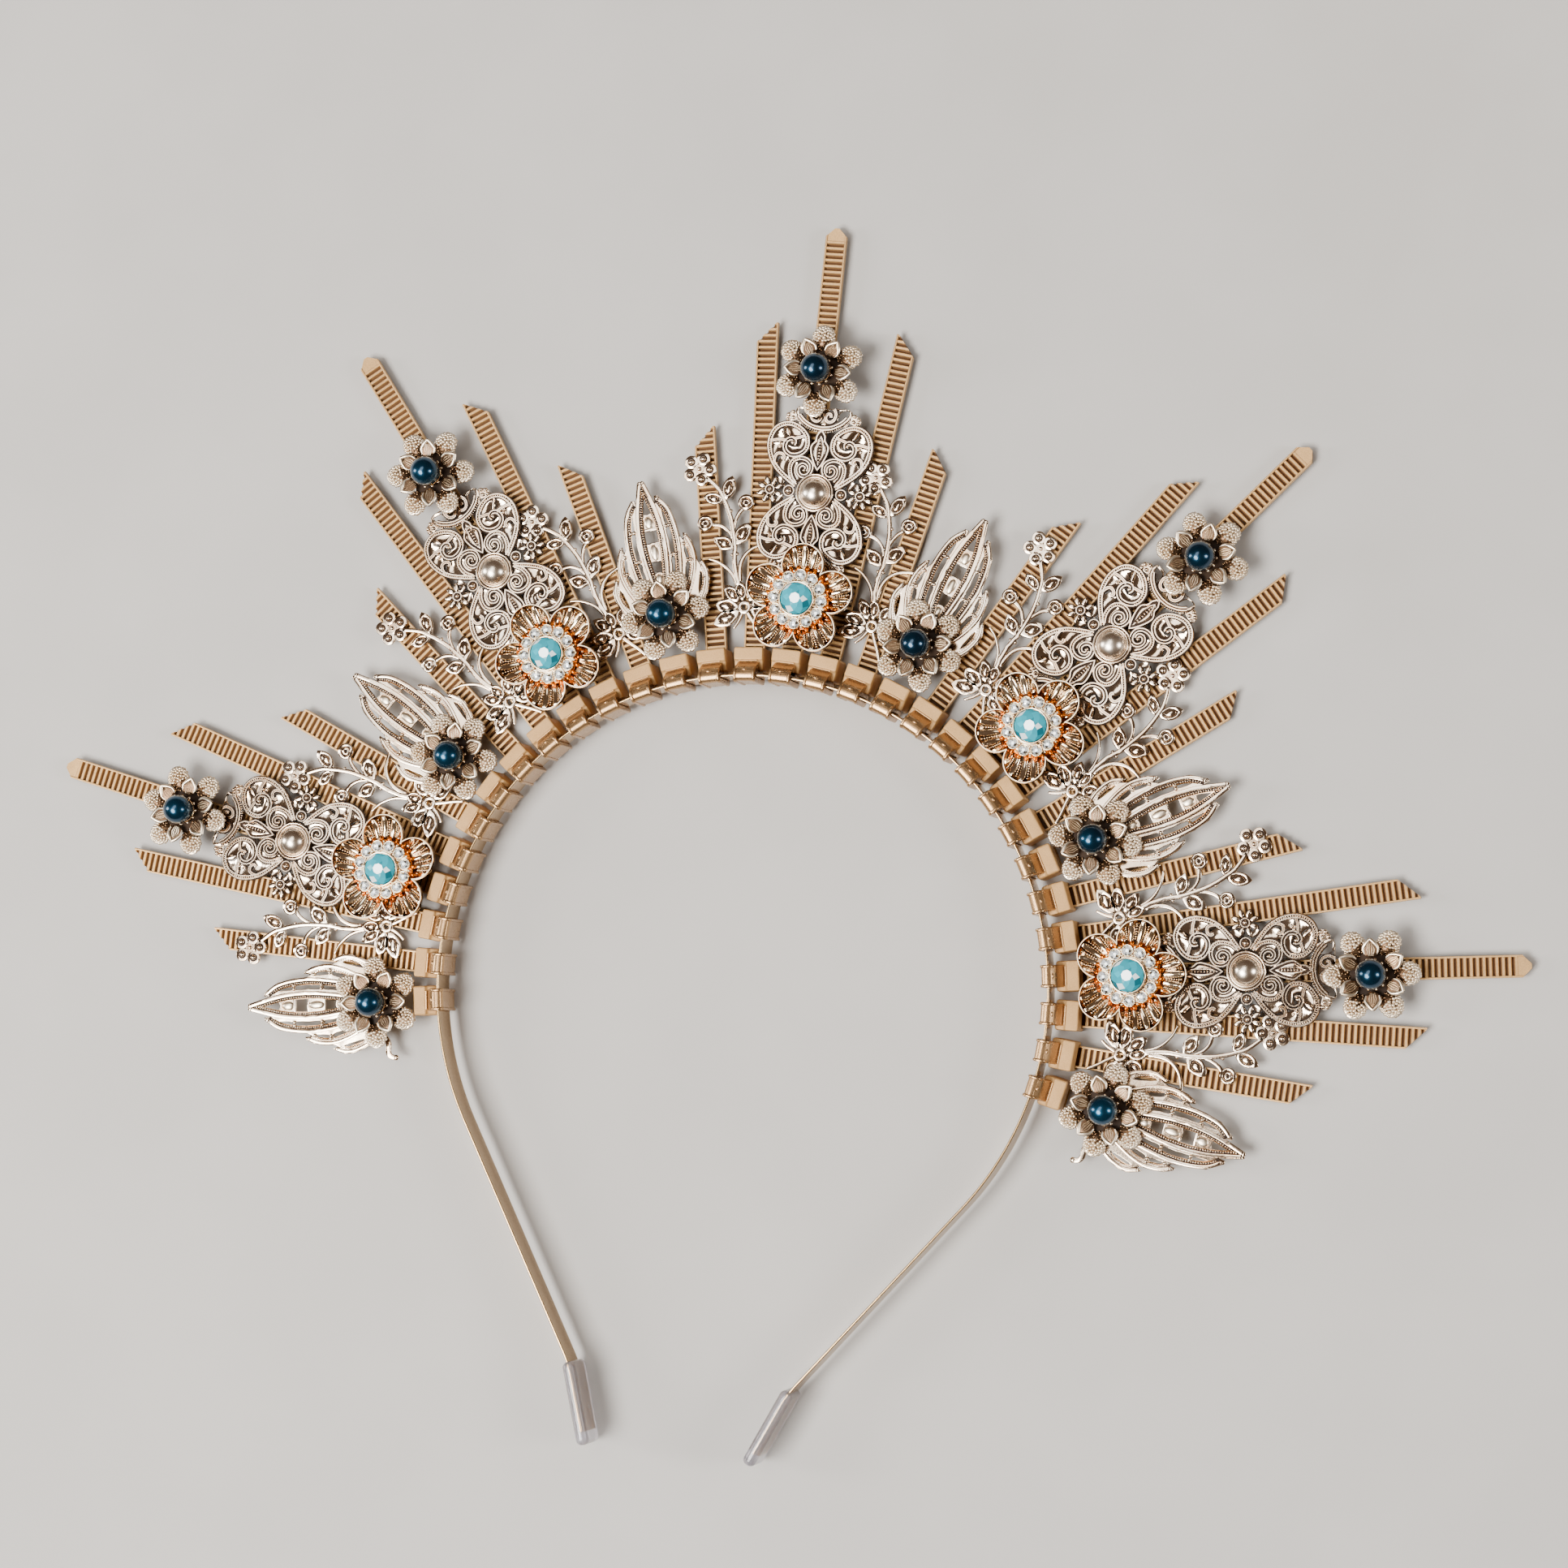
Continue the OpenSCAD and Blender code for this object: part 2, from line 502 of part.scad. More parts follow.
module pearl_flower_shape() {
    difference() {
        union() {
            intersection() {
                for (i = [0:5]) rotate([0, 0, 60 * i]) translate([0, 6.9, flower_z + 0.6]) sphere(2.1);
                translate([0, 0, flower_z]) cylinder(h = 6, r = 12);
            }
            for (i = [0:2]) rotate([0, 0, 60 * i]) translate([-1, -6.9, flower_z])
                cube([2, 13.8, 0.9]);
            translate([0, 0, flower_z]) cylinder(h = 1.2, r = 4.2);
            for (i = [0:5]) rotate([0, 0, 30 + 60 * i]) translate([0, 4.8, flower_z + 2.0]) sphere(1.65);
            translate([0, 0, flower_z + 1.1]) cylinder(h = 2.2, r = 2.9);
        }
        translate([0, 0, pearl_z]) sphere(pearl_d / 2 + 0.1);
        for (i = [0:5]) rotate([0, 0, 30 + 60 * i]) translate([0, 4.9, flower_z + 3.4]) sphere(1.35);
    }
}

module pearl_flower(k) color(gold) at_pearl(k) rotate([0, 0, k <= 5 ? 0 : 30]) pearl_flower_shape();

module pearl(k) color(dark) at_pearl(k, pearl_z) sphere(pearl_d / 2);

headband();
end_sleeve_left();
end_sleeve_right();
for (k = [1:5]) ray_ties(k);
trimmed_ties();
for (k = [1:5]) filigree(k);
for (k = [1:6]) leaf(k);
for (k = [1:5]) spray_pair(k);
for (k = [1:5]) stone_flower(k);
for (k = [1:5]) blue_stone(k);
clear_stones();
for (k = [1:11]) pearl_flower(k);
for (k = [1:11]) pearl(k);
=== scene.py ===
"""Dresses the halo crown's frame: ties, pierced panels, leaves, sprays, flowers, stones and pearls."""

import logging
import math
from contextlib import contextmanager
from dataclasses import dataclass, field
from enum import Enum
from typing import Callable, Iterable, Iterator, Optional, Sequence

import bpy
from mathutils import Matrix, Vector


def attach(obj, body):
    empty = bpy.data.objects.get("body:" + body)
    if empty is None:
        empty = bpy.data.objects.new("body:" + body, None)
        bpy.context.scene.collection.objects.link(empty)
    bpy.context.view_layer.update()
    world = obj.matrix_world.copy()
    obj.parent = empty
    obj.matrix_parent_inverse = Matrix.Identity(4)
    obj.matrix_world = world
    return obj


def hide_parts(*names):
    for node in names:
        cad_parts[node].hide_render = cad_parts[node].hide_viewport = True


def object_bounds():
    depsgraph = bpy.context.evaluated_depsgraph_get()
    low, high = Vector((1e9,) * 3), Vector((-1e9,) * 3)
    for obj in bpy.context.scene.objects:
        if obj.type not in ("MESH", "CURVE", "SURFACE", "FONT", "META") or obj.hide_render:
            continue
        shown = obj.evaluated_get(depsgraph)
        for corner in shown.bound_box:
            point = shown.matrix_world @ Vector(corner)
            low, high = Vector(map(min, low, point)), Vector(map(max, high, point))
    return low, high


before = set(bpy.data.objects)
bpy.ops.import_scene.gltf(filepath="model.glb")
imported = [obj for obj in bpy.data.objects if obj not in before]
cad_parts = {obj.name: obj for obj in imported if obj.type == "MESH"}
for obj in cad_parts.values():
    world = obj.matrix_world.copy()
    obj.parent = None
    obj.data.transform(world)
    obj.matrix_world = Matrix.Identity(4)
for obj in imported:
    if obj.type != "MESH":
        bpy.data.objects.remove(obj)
cad_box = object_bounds()

log = logging.getLogger("halo_crown")

Piece = bpy.types.Object
Mesh = bpy.types.Mesh
Point = tuple[float, float]
Path = list[Point]
Points = tuple[Point, ...]
Rows = tuple[tuple[float, ...], ...]

MM = 0.001
WELD_MM = 0.0005
GOLDEN_TURN = math.degrees(2.39996)
CLOUD_SIZE = 14
GLINT_TONE = 0.985
RAY_LONG = 155.5


# Plane curves, in millimetres

def smooth(points: Sequence[Point], steps: int = 4, closed: bool = False) -> Path:
    """Runs a soft curve through a few points.

    Args:
        points: the points that the curve passes through.
        steps: how many short pieces each span gets.
        closed: whether the last point joins the first.

    Returns:
        The points of the curve.
    """
    n = len(points)
    path: Path = []
    for i in range(n if closed else n - 1):
        a, b, c, d = (points[(i + k) % n if closed else min(max(i + k, 0), n - 1)] for k in (-1, 0, 1, 2))
        for j in range(steps):
            t = j / steps
            path.append(tuple(0.5 * (2 * b[k] + (c[k] - a[k]) * t + (2 * a[k] - 5 * b[k] + 4 * c[k] - d[k]) * t * t
                                     + (3 * b[k] - a[k] - 3 * c[k] + d[k]) * t ** 3) for k in (0, 1)))
    return path if closed else path + [tuple(points[-1])]


def polar(radius: float, angle: float) -> Point:
    """The point at a radius and an angle in degrees from +X."""
    a = math.radians(angle)
    return radius * math.cos(a), radius * math.sin(a)


def arc(centre: Point, radius: float, start: float, end: float, count: int = 16) -> Path:
    """Points of an arc.

    Args:
        centre: the arc's centre.
        radius: its radius.
        start: first angle, in degrees from +X.
        end: last angle.
        count: how many pieces it has.

    Returns:
        The arc's points.
    """
    spokes = (polar(radius, start + (end - start) * i / count) for i in range(count + 1))
    return [(centre[0] + x, centre[1] + y) for x, y in spokes]


def circle(centre: Point, radius: float, count: int = 24) -> Path:
    """Points of a whole circle."""
    return arc(centre, radius, 0, 360 - 360 / count, count - 1)


def beside(path: Sequence[Point], distance: float) -> Path:
    """The path moved sideways, to its left where the distance is positive."""
    out: Path = []
    for i, (x, y) in enumerate(path):
        a, b = path[max(i - 1, 0)], path[min(i + 1, len(path) - 1)]
        run = math.hypot(b[0] - a[0], b[1] - a[1]) or 1.0
        out.append((x - (b[1] - a[1]) / run * distance, y + (b[0] - a[0]) / run * distance))
    return out


def band(path: Sequence[Point], width: float, end_width: Optional[float] = None) -> Path:
    """The closed outline of a strip along an open path.

    Args:
        path: the strip's middle line.
        width: the strip's width at its start.
        end_width: its width at the end, if that differs.

    Returns:
        The outline.
    """
    far = width if end_width is None else end_width
    n = len(path) - 1
    left = beside(path, 1.0)
    side = [(l[0] - p[0], l[1] - p[1]) for l, p in zip(left, path)]
    half = [(width + (far - width) * i / n) / 2 for i in range(n + 1)]
    return ([(p[0] + s[0] * h, p[1] + s[1] * h) for p, s, h in zip(path, side, half)]
            + [(p[0] - s[0] * h, p[1] - s[1] * h) for p, s, h in reversed(list(zip(path, side, half)))])


def blade(foot: Point, tip: Point, width: float, count: int = 8, belly: float = 0.8) -> Path:
    """A pointed leaf's outline from its foot to its tip.

    Args:
        foot: where the leaf starts.
        tip: where it ends.
        width: its greatest width.
        count: pieces on each side.
        belly: below 1 makes the leaf fuller.

    Returns:
        The closed outline.
    """
    dx, dy = tip[0] - foot[0], tip[1] - foot[1]
    run = math.hypot(dx, dy)
    sides = []
    for s in (1, -1):
        line = []
        for i in range(count + 1):
            t = i / count
            w = s * width / 2 * math.sin(math.pi * t) ** belly if 0 < i < count else 0.0
            line.append((foot[0] + dx * t + dy / run * w, foot[1] + dy * t - dx / run * w))
        sides.append(line)
    return sides[0] + sides[1][-2:0:-1]


def box(left: float, right: float, low: float, high: float) -> Path:
    """The corners of an upright rectangle."""
    return [(left, low), (right, low), (right, high), (left, high)]


def shrunk(outline: Sequence[Point], factor: float) -> Path:
    """The outline scaled about its middle."""
    cx = sum(p[0] for p in outline) / len(outline)
    cy = sum(p[1] for p in outline) / len(outline)
    return [(cx + (p[0] - cx) * factor, cy + (p[1] - cy) * factor) for p in outline]


def bend(before: Point, corner: Point, after: Point, radius: float, steps: Sequence[float]) -> Path:
    """The short curve that rounds off one corner.

    Args:
        before: the point before the corner.
        corner: the corner.
        after: the point after it.
        radius: how far from the corner the curve starts and ends.
        steps: where the curve's points lie on it, from 0 to 1.

    Returns:
        The curve's points.
    """
    middle = Vector(corner)
    ways = [Vector(p) - middle for p in (before, after)]
    reach = min(radius, *(way.length * 0.49 for way in ways))
    start, end = (middle + way.normalized() * reach for way in ways)
    return [tuple(start * (1 - t) ** 2 + middle * 2 * t * (1 - t) + end * t * t) for t in steps]


def rounded(corners: Sequence[Point], radius: float, count: int = 4) -> Path:
    """A polygon with its corners rounded off."""
    n = len(corners)
    return [point for i in range(n)
            for point in bend(corners[i - 1], corners[i], corners[(i + 1) % n], radius,
                              [k / count for k in range(count + 1)])]


def both_sides(half: Sequence[Point]) -> Path:
    """A closed outline from its right half, which runs from the middle line back to the middle line."""
    return list(half) + [(-x, y) for x, y in reversed(half) if abs(x) > 1e-6]


def spaced(path: Sequence[Point], pitch: float) -> Path:
    """Points at an even pitch along a path."""
    out: Path = []
    left = pitch / 2
    for a, b in zip(path, path[1:]):
        run = math.hypot(b[0] - a[0], b[1] - a[1])
        while left <= run and run > 0:
            t = left / run
            out.append((a[0] + (b[0] - a[0]) * t, a[1] + (b[1] - a[1]) * t))
            left += pitch
        left -= run
    return out


# Finishes

class Pattern(Enum):
    """What breaks up a finish."""
    CAST = "cast"
    SPRAYED = "sprayed"
    BRUSHED = "brushed"
    FACETS = "facets"
    LUSTRE = "lustre"
    CLOUDY = "cloudy"


@dataclass(frozen=True)
class Finish:
    """One finish: its colours, gloss and surface pattern.

    Args:
        name: plain name of the finish.
        light: its lighter colour.
        dark: its darker colour, in the pattern's hollows.
        roughness: 0 to 1, mean value.
        grain_mm: size of the pattern.
        bump_mm: depth of the pattern.
        metallic: 0 to 1.
        pattern: what breaks up the surface.
        coat: weight of a clear coat.
        clear: how much light passes through.
        shine: strength of the plain reflection of a finish that isn't metal.
    """
    name: str
    light: tuple[float, float, float]
    dark: tuple[float, float, float]
    roughness: float
    grain_mm: float
    bump_mm: float
    metallic: float = 1.0
    pattern: Pattern = Pattern.CAST
    coat: float = 0.0
    clear: float = 0.0
    shine: float = 0.5

    def material(self) -> bpy.types.Material:
        """Makes the finish's material, or finds it if it was made before."""
        name = f"dressed_{self.name}"
        found = bpy.data.materials.get(name)
        if found:
            return found
        mat = bpy.data.materials.new(name)
        mat.use_nodes = True
        tree = mat.node_tree
        shader = tree.nodes["Principled BSDF"]
        for socket, value in (("Metallic", self.metallic), ("Coat Weight", self.coat), ("Coat Roughness", 0.04),
                              ("Transmission Weight", self.clear), ("Specular IOR Level", self.shine)):
            shader.inputs[socket].default_value = value
        if self.pattern is Pattern.FACETS:
            self._facets(tree, shader)
        else:
            self._grain(tree, shader)
        mat.diffuse_color = (*self.light, 1)
        return mat

    def _grain(self, tree: bpy.types.NodeTree, shader: bpy.types.Node) -> None:
        """Adds a noise that tints the colour, the gloss and the relief."""
        place = tree.nodes.new("ShaderNodeTexCoord")
        noises = []
        for scale, detail, rough in ((1, 5, 0.65), (CLOUD_SIZE, 3, 0.5)):
            noise = tree.nodes.new("ShaderNodeTexNoise")
            noise.inputs["Scale"].default_value = 1 / (self.grain_mm * MM * scale)
            noise.inputs["Detail"].default_value = detail
            noise.inputs["Roughness"].default_value = rough
            tree.links.new(place.outputs["Object"], noise.inputs["Vector"])
            noises.append(noise)
        noise, cloud = noises
        tint = tree.nodes.new("ShaderNodeValToRGB")
        for stop, position, colour in zip(tint.color_ramp.elements, (0.35, 0.62), (self.dark, self.light)):
            stop.position, stop.color = position, (*colour, 1)
        fine = self.pattern in (Pattern.SPRAYED, Pattern.BRUSHED)
        tree.links.new((noise if fine else cloud).outputs["Fac"], tint.inputs["Fac"])
        tree.links.new(tint.outputs["Color"], shader.inputs["Base Color"])
        gloss = tree.nodes.new("ShaderNodeMapRange")
        gloss.inputs["To Min"].default_value = self.roughness * 0.7
        gloss.inputs["To Max"].default_value = self.roughness * 1.4
        tree.links.new(cloud.outputs["Fac"], gloss.inputs["Value"])
        tree.links.new(gloss.outputs["Result"], shader.inputs["Roughness"])
        bump = tree.nodes.new("ShaderNodeBump")
        bump.inputs["Distance"].default_value = self.bump_mm * MM
        bump.inputs["Strength"].default_value = 1.0
        tree.links.new(noise.outputs["Fac"], bump.inputs["Height"])
        tree.links.new(bump.outputs["Normal"], shader.inputs["Normal"])

    def _facets(self, tree: bpy.types.NodeTree, shader: bpy.types.Node) -> None:
        """Tints each facet by the painted light stored on its mesh, painted highlights, glints and dark reflections;
        the brightest facets also mirror the lamps.
        """
        shader.inputs["Roughness"].default_value = self.roughness
        tone = tree.nodes.new("ShaderNodeAttribute")
        tone.attribute_name = "tone"
        tint = tree.nodes.new("ShaderNodeValToRGB")
        # The ramp runs from a painted dark reflection through the stone's colour, painted lighter on lit facets, to a
        # painted near-white glint.
        tint.color_ramp.elements[0].color = (*self.dark, 1)
        tint.color_ramp.elements[1].color = (0.88, 0.94, 0.95, 1)
        for position, times in ((0.45, 1.0), (0.88, 1.6)):
            middle = tint.color_ramp.elements.new(position)
            middle.color = (*(min(1.0, part * times) for part in self.light), 1)
        glint = tree.nodes.new("ShaderNodeMath")
        glint.operation = "GREATER_THAN"
        glint.inputs[1].default_value = GLINT_TONE
        tree.links.new(tone.outputs["Fac"], glint.inputs[0])
        tree.links.new(glint.outputs["Value"], shader.inputs["Metallic"])
        tree.links.new(tone.outputs["Fac"], tint.inputs["Fac"])
        tree.links.new(tint.outputs["Color"], shader.inputs["Base Color"])


PALE_GOLD = Finish("pale_gold_plate", (0.82, 0.69, 0.555), (0.65, 0.49, 0.345), 0.12, 0.5, 0.010)
DOME_GOLD = Finish("dome_gold", (0.94, 0.84, 0.72), (0.88, 0.76, 0.62), 0.25, 0.5, 0.003)
FLOWER_GOLD = Finish("flower_gold", (0.94, 0.80, 0.60), (0.80, 0.60, 0.38), 0.14, 0.4, 0.008)
GRAIN_GOLD = Finish("grained_gold", (0.92, 0.80, 0.64), (0.84, 0.69, 0.51), 0.3, 0.4, 0.006)
# Dark brown gold for the stone flowers' bowls and base and the pearl flowers' inner grains: painted shade and painted
# dark reflection on gold that is light itself.
PETAL_PAINTED_SHADE = Finish("petal_painted_shade", (0.38, 0.24, 0.13), (0.22, 0.13, 0.07), 0.14, 0.8, 0.003)
# Very dark gold for the pearl flowers' cushions and the insides of their plain petals: painted shade between the grains
# and inside the cups.
CUP_PAINTED_SHADE = Finish("cup_painted_shade", (0.13, 0.072, 0.036), (0.07, 0.036, 0.018), 0.26, 0.5, 0.010, metallic=0.8)
# Near-black, non-metal finish for grooves, outlines and backing sheets: painted shade where recesses and gaps fall
# dark.
GROOVE_PAINTED_SHADE = Finish("groove_painted_shade", (0.045, 0.026, 0.016), (0.022, 0.012, 0.007), 0.5, 0.4, 0.01,
                     metallic=0.0, shine=0.1)
# Deep orange for the stone flowers' skirt and foot: painted reflection, the warm glow of the gold reflecting inside the
# flower.
SKIRT_PAINTED_REFLECTION = Finish("skirt_painted_reflection", (0.78, 0.22, 0.010), (0.42, 0.09, 0.004), 0.24, 0.4, 0.02)
TIE_GRAIN = Finish("tie_sprayed_gold", (0.62, 0.37, 0.15), (0.48, 0.27, 0.10), 0.5, 0.16, 0.03,
                   metallic=0.2, pattern=Pattern.SPRAYED, shine=0.3)
STRAP_GOLD = Finish("strap_gold", (0.60, 0.37, 0.16), (0.46, 0.27, 0.11), 0.32, 0.25, 0.008,
                    metallic=0.5, pattern=Pattern.SPRAYED, shine=0.3)
LOOP_GOLD = Finish("loop_gold", (0.50, 0.31, 0.155), (0.38, 0.225, 0.105), 0.26, 0.25, 0.006,
                   metallic=0.85, pattern=Pattern.SPRAYED)
# Dark brown floor between a tail's teeth: partly painted shade in the gaps, partly thinner gold paint that reaches less
# far in.
TIE_GAP_SHADE_AND_THIN_PAINT = Finish("tie_gap_shade_and_thin_paint", (0.13, 0.062, 0.026), (0.085, 0.038, 0.016), 0.5, 0.2, 0.01,
                    metallic=0.0, pattern=Pattern.SPRAYED, shine=0.1)
BAND_GOLD = Finish("band_gold", (0.62, 0.42, 0.22), (0.48, 0.31, 0.15), 0.16, 0.4, 0.004, pattern=Pattern.BRUSHED)
# The stones' dark colours are painted dark reflections; which facet shows which colour is painted light, set per facet.
AQUA = Finish("aqua_stone", (0.025, 0.29, 0.37), (0.003, 0.045, 0.065), 0.05, 1, 0,
              metallic=0.0, pattern=Pattern.FACETS, shine=0.15)
CLEAR = Finish("clear_stone", (0.42, 0.44, 0.46), (0.012, 0.012, 0.016), 0.05, 1, 0,
               metallic=0.0, pattern=Pattern.FACETS, shine=0.2)
PEARL = Finish("dark_pearl", (0.005, 0.050, 0.100), (0.002, 0.018, 0.040), 0.24, 1.2, 0.0,
               metallic=0.8, pattern=Pattern.LUSTRE, coat=0.5)
SLEEVE = Finish("clear_sleeve", (0.74, 0.72, 0.78), (0.58, 0.56, 0.62), 0.16, 1.0, 0.01,
                metallic=0.0, pattern=Pattern.CLOUDY, clear=0.8)
FLOOR = Finish("pale_floor", (0.54, 0.525, 0.505), (0.505, 0.49, 0.47), 0.75, 3.0, 0.02,
               metallic=0.0, pattern=Pattern.CLOUDY)


# Modelling

def deselect() -> None:
    """Leaves nothing selected and no piece in edit mode."""
    if bpy.context.object and bpy.context.object.mode != "OBJECT":
        bpy.ops.object.mode_set(mode="OBJECT")
    for piece in bpy.context.selected_objects:
        piece.select_set(False)


def pick(piece: Piece) -> None:
    """Selects one piece alone and makes it the active one."""
    deselect()
    piece.select_set(True)
    bpy.context.view_layer.objects.active = piece


def turned(angle: float) -> Matrix:
    """A turn about Z by some degrees."""
    return Matrix.Rotation(math.radians(angle), 4, "Z")


def moved(x: float, y: float, z: float) -> Matrix:
    """A shift along the three axes."""
    return Matrix.Translation((x, y, z))


def sized(x: float, y: float, z: float) -> Matrix:
    """A scaling along the three axes."""
    return Matrix.Diagonal((x, y, z, 1))


@contextmanager
def editing(piece: Piece) -> Iterator[None]:
    """Opens a piece in edit mode with all of it selected, and closes it again."""
    pick(piece)
    bpy.ops.object.mode_set(mode="EDIT")
    bpy.ops.mesh.select_all(action="SELECT")
    yield
    bpy.ops.object.mode_set(mode="OBJECT")


class Tray:
    """Loose meshes in millimetres, laid out round a local origin, that are welded into one piece."""

    def __init__(self, finish: Finish) -> None:
        """Starts an empty tray whose parts get one finish.

        Args:
            finish: the finish of the parts added next; it can be changed on the way.
        """
        self.finish = finish
        self.parts: list[Piece] = []

    def of(self, finish: Finish) -> "Tray":
        """Changes the finish of the parts added next."""
        self.finish = finish
        return self

    def keep(self, piece: Piece) -> Piece:
        """Puts a mesh on the tray in the current finish."""
        piece.data.materials.clear()
        piece.data.materials.append(self.finish.material())
        self.parts.append(piece)
        return piece

    def _settle(self, curve: bpy.types.Curve, turn: Matrix) -> Piece:
        """Turns a curve into a closed mesh on the tray."""
        piece = bpy.data.objects.new(curve.name, curve)
        bpy.context.collection.objects.link(piece)
        pick(piece)
        bpy.ops.object.convert(target="MESH")
        with editing(piece):
            bpy.ops.mesh.remove_doubles(threshold=WELD_MM)
        piece.data.transform(turn)
        return self.keep(piece)

    def solid(self, add: Callable[..., object], where: Matrix, **sizes: float) -> Piece:
        """A primitive mesh, put in its place.

        Args:
            add: the operator that adds it.
            where: the matrix that takes it to its place.
            sizes: the operator's own sizes.

        Returns:
            The primitive's object.
        """
        deselect()
        add(**sizes)
        piece = bpy.context.object
        piece.data.transform(where)
        return self.keep(piece)

    def plate(self, outline: Sequence[Point], low: float, high: float, holes: Iterable[Sequence[Point]] = (),
              soft: float = 0.12) -> Piece:
        """A flat plate with soft edges and holes.

        Args:
            outline: the plate's outline.
            low: height of its lower face.
            high: height of its upper face.
            holes: outlines of the holes.
            soft: how far the edges are rounded.

        Returns:
            The plate's object.
        """
        curve = bpy.data.curves.new("plate", "CURVE")
        curve.dimensions = "2D"
        curve.fill_mode = "BOTH"
        for loop in (outline, *holes):
            spline = curve.splines.new("POLY")
            spline.points.add(len(loop) - 1)
            for point, (x, y) in zip(spline.points, loop):
                point.co = (x, y, 0, 1)
            spline.use_cyclic_u = True
        curve.extrude = (high - low) / 2 - soft
        curve.bevel_depth = soft
        curve.bevel_resolution = 1 if soft > 0.1 else 0
        curve.offset = -soft
        return self._settle(curve, moved(0, 0, (low + high) / 2))

    def wall(self, outline: Sequence[Point], left: float, right: float, soft: float = 0.0,
             holes: Iterable[Sequence[Point]] = ()) -> Piece:
        """A plate whose outline stands in the Y Z plane, with its thickness along X."""
        piece = self.plate(outline, left, right, holes, soft)
        piece.data.transform(Matrix(((0, 0, 1, 0), (1, 0, 0, 0), (0, 1, 0, 0), (0, 0, 0, 1))))
        return piece

    def ribbon(self, path: Sequence[Point], width: float, low: float, high: float, soft: float = 0.12,
               end_width: Optional[float] = None) -> Piece:
        """A flat strip along an open path."""
        return self.plate(band(path, width, end_width), low, high, soft=soft)

    def wires(self, paths: Iterable[Sequence], height: float, radius: float, sides: int = 6, closed: bool = False,
              flat: float = 1.0, taper: Sequence[float] = ()) -> Piece:
        """Round wires along paths.

        Args:
            paths: each wire's path; a point with three values gives its own height.
            height: height of the wires' middle lines.
            radius: the wires' radius.
            sides: 4, 6 or 8 sides.
            closed: whether each wire is a closed loop.
            flat: below 1 presses the wires flat.
            taper: relative radius at even steps along each wire.

        Returns:
            The wires' object.
        """
        curve = bpy.data.curves.new("wire", "CURVE")
        curve.dimensions = "3D"
        curve.bevel_depth = radius
        curve.bevel_resolution = (sides - 4) // 2
        curve.use_fill_caps = not closed
        for path in paths:
            spline = curve.splines.new("POLY")
            spline.points.add(len(path) - 1)
            for i, (point, place) in enumerate(zip(spline.points, path)):
                z = place[2] - height if len(place) > 2 else 0.0
                point.co = (place[0], place[1], z / flat, 1)
                if taper:
                    at = i / (len(path) - 1) * (len(taper) - 1)
                    k = min(int(at), len(taper) - 2)
                    point.radius = taper[k] + (taper[k + 1] - taper[k]) * (at - k)
            spline.use_cyclic_u = closed
        return self._settle(curve, moved(0, 0, height) @ Matrix.Diagonal((1, 1, flat, 1)))

    def ball(self, centre: Sequence[float], radius: float, detail: int = 2,
             size: Sequence[float] = (1, 1, 1), turn: float = 0.0) -> Piece:
        """A ball, or an egg where the three sizes differ, turned about Z by some degrees."""
        where = moved(*centre) @ turned(turn) @ sized(*size)
        return self.solid(bpy.ops.mesh.primitive_ico_sphere_add, where, subdivisions=detail, radius=radius)

    def balls(self, centres: Iterable[Sequence[float]], radius: float, detail: int = 1,
              size: Sequence[float] = (1, 1, 1)) -> None:
        """Many like balls, which are copies of one."""
        one = Tray(self.finish)
        one.ball((0, 0, 0), radius, detail, size)
        self.lay(one.model(), [moved(*centre) for centre in centres])

    def hoop(self, centre: Sequence[float], radius: float, wire: float, around: int = 24,
             sides: int = 6) -> Piece:
        """A round wire ring."""
        return self.solid(bpy.ops.mesh.primitive_torus_add, moved(*centre), major_radius=radius,
                          minor_radius=wire, major_segments=around, minor_segments=sides)

    def disc(self, centre: Point, low: float, high: float, radius: float, soft: float = 0.15,
             hole: float = 0.0, around: int = 24) -> Piece:
        """A round plate, with a round hole where one is given."""
        holes = [circle(centre, hole, around)] if hole else []
        return self.plate(circle(centre, radius, around), low, high, holes, soft)

    def weld(self, name: str = "part") -> Piece:
        """Joins the tray's parts into one mesh and empties the tray."""
        deselect()
        for part in self.parts:
            part.select_set(True)
        bpy.context.view_layer.objects.active = self.parts[0]
        if len(self.parts) > 1:
            bpy.ops.object.join()
        piece = bpy.context.view_layer.objects.active
        piece.name = piece.data.name = name
        self.parts = []
        return piece

    def model(self, name: str = "model") -> Mesh:
        """Joins the tray's parts into one mesh, which is taken out of the scene to be copied later."""
        piece = self.weld(name)
        mesh = piece.data
        bpy.data.objects.remove(piece)
        return mesh

    def lay(self, mesh: Mesh, spots: Iterable[Matrix]) -> None:
        """Lays a copy of a mesh on the tray at each place; mirrored copies get their faces turned outwards again.

        Args:
            mesh: the mesh to copy.
            spots: a matrix for each copy.
        """
        for spot in spots:
            copy = bpy.data.objects.new("copy", mesh.copy())
            bpy.context.collection.objects.link(copy)
            copy.data.transform(spot)
            if spot.determinant() < 0:
                copy.data.flip_normals()
            self.parts.append(copy)

    def repeat(self, turns: Iterable[Matrix]) -> None:
        """Welds what lies on the tray, and lays out a copy of it for each matrix."""
        self.lay(self.model(), turns)


def cut_away(piece: Piece, point: Sequence[float], normal: Sequence[float], close: bool = True) -> None:
    """Cuts off what lies beyond a plane, on the side that its normal points to."""
    with editing(piece):
        bpy.ops.mesh.bisect(plane_co=point, plane_no=normal, use_fill=close, clear_outer=True)


def apply(piece: Piece, kind: str, **settings: object) -> None:
    """Adds a modifier with some settings and applies it."""
    pick(piece)
    change = piece.modifiers.new(kind.lower(), kind)
    for key, value in settings.items():
        setattr(change, key, value)
    bpy.ops.object.modifier_apply(modifier=change.name)


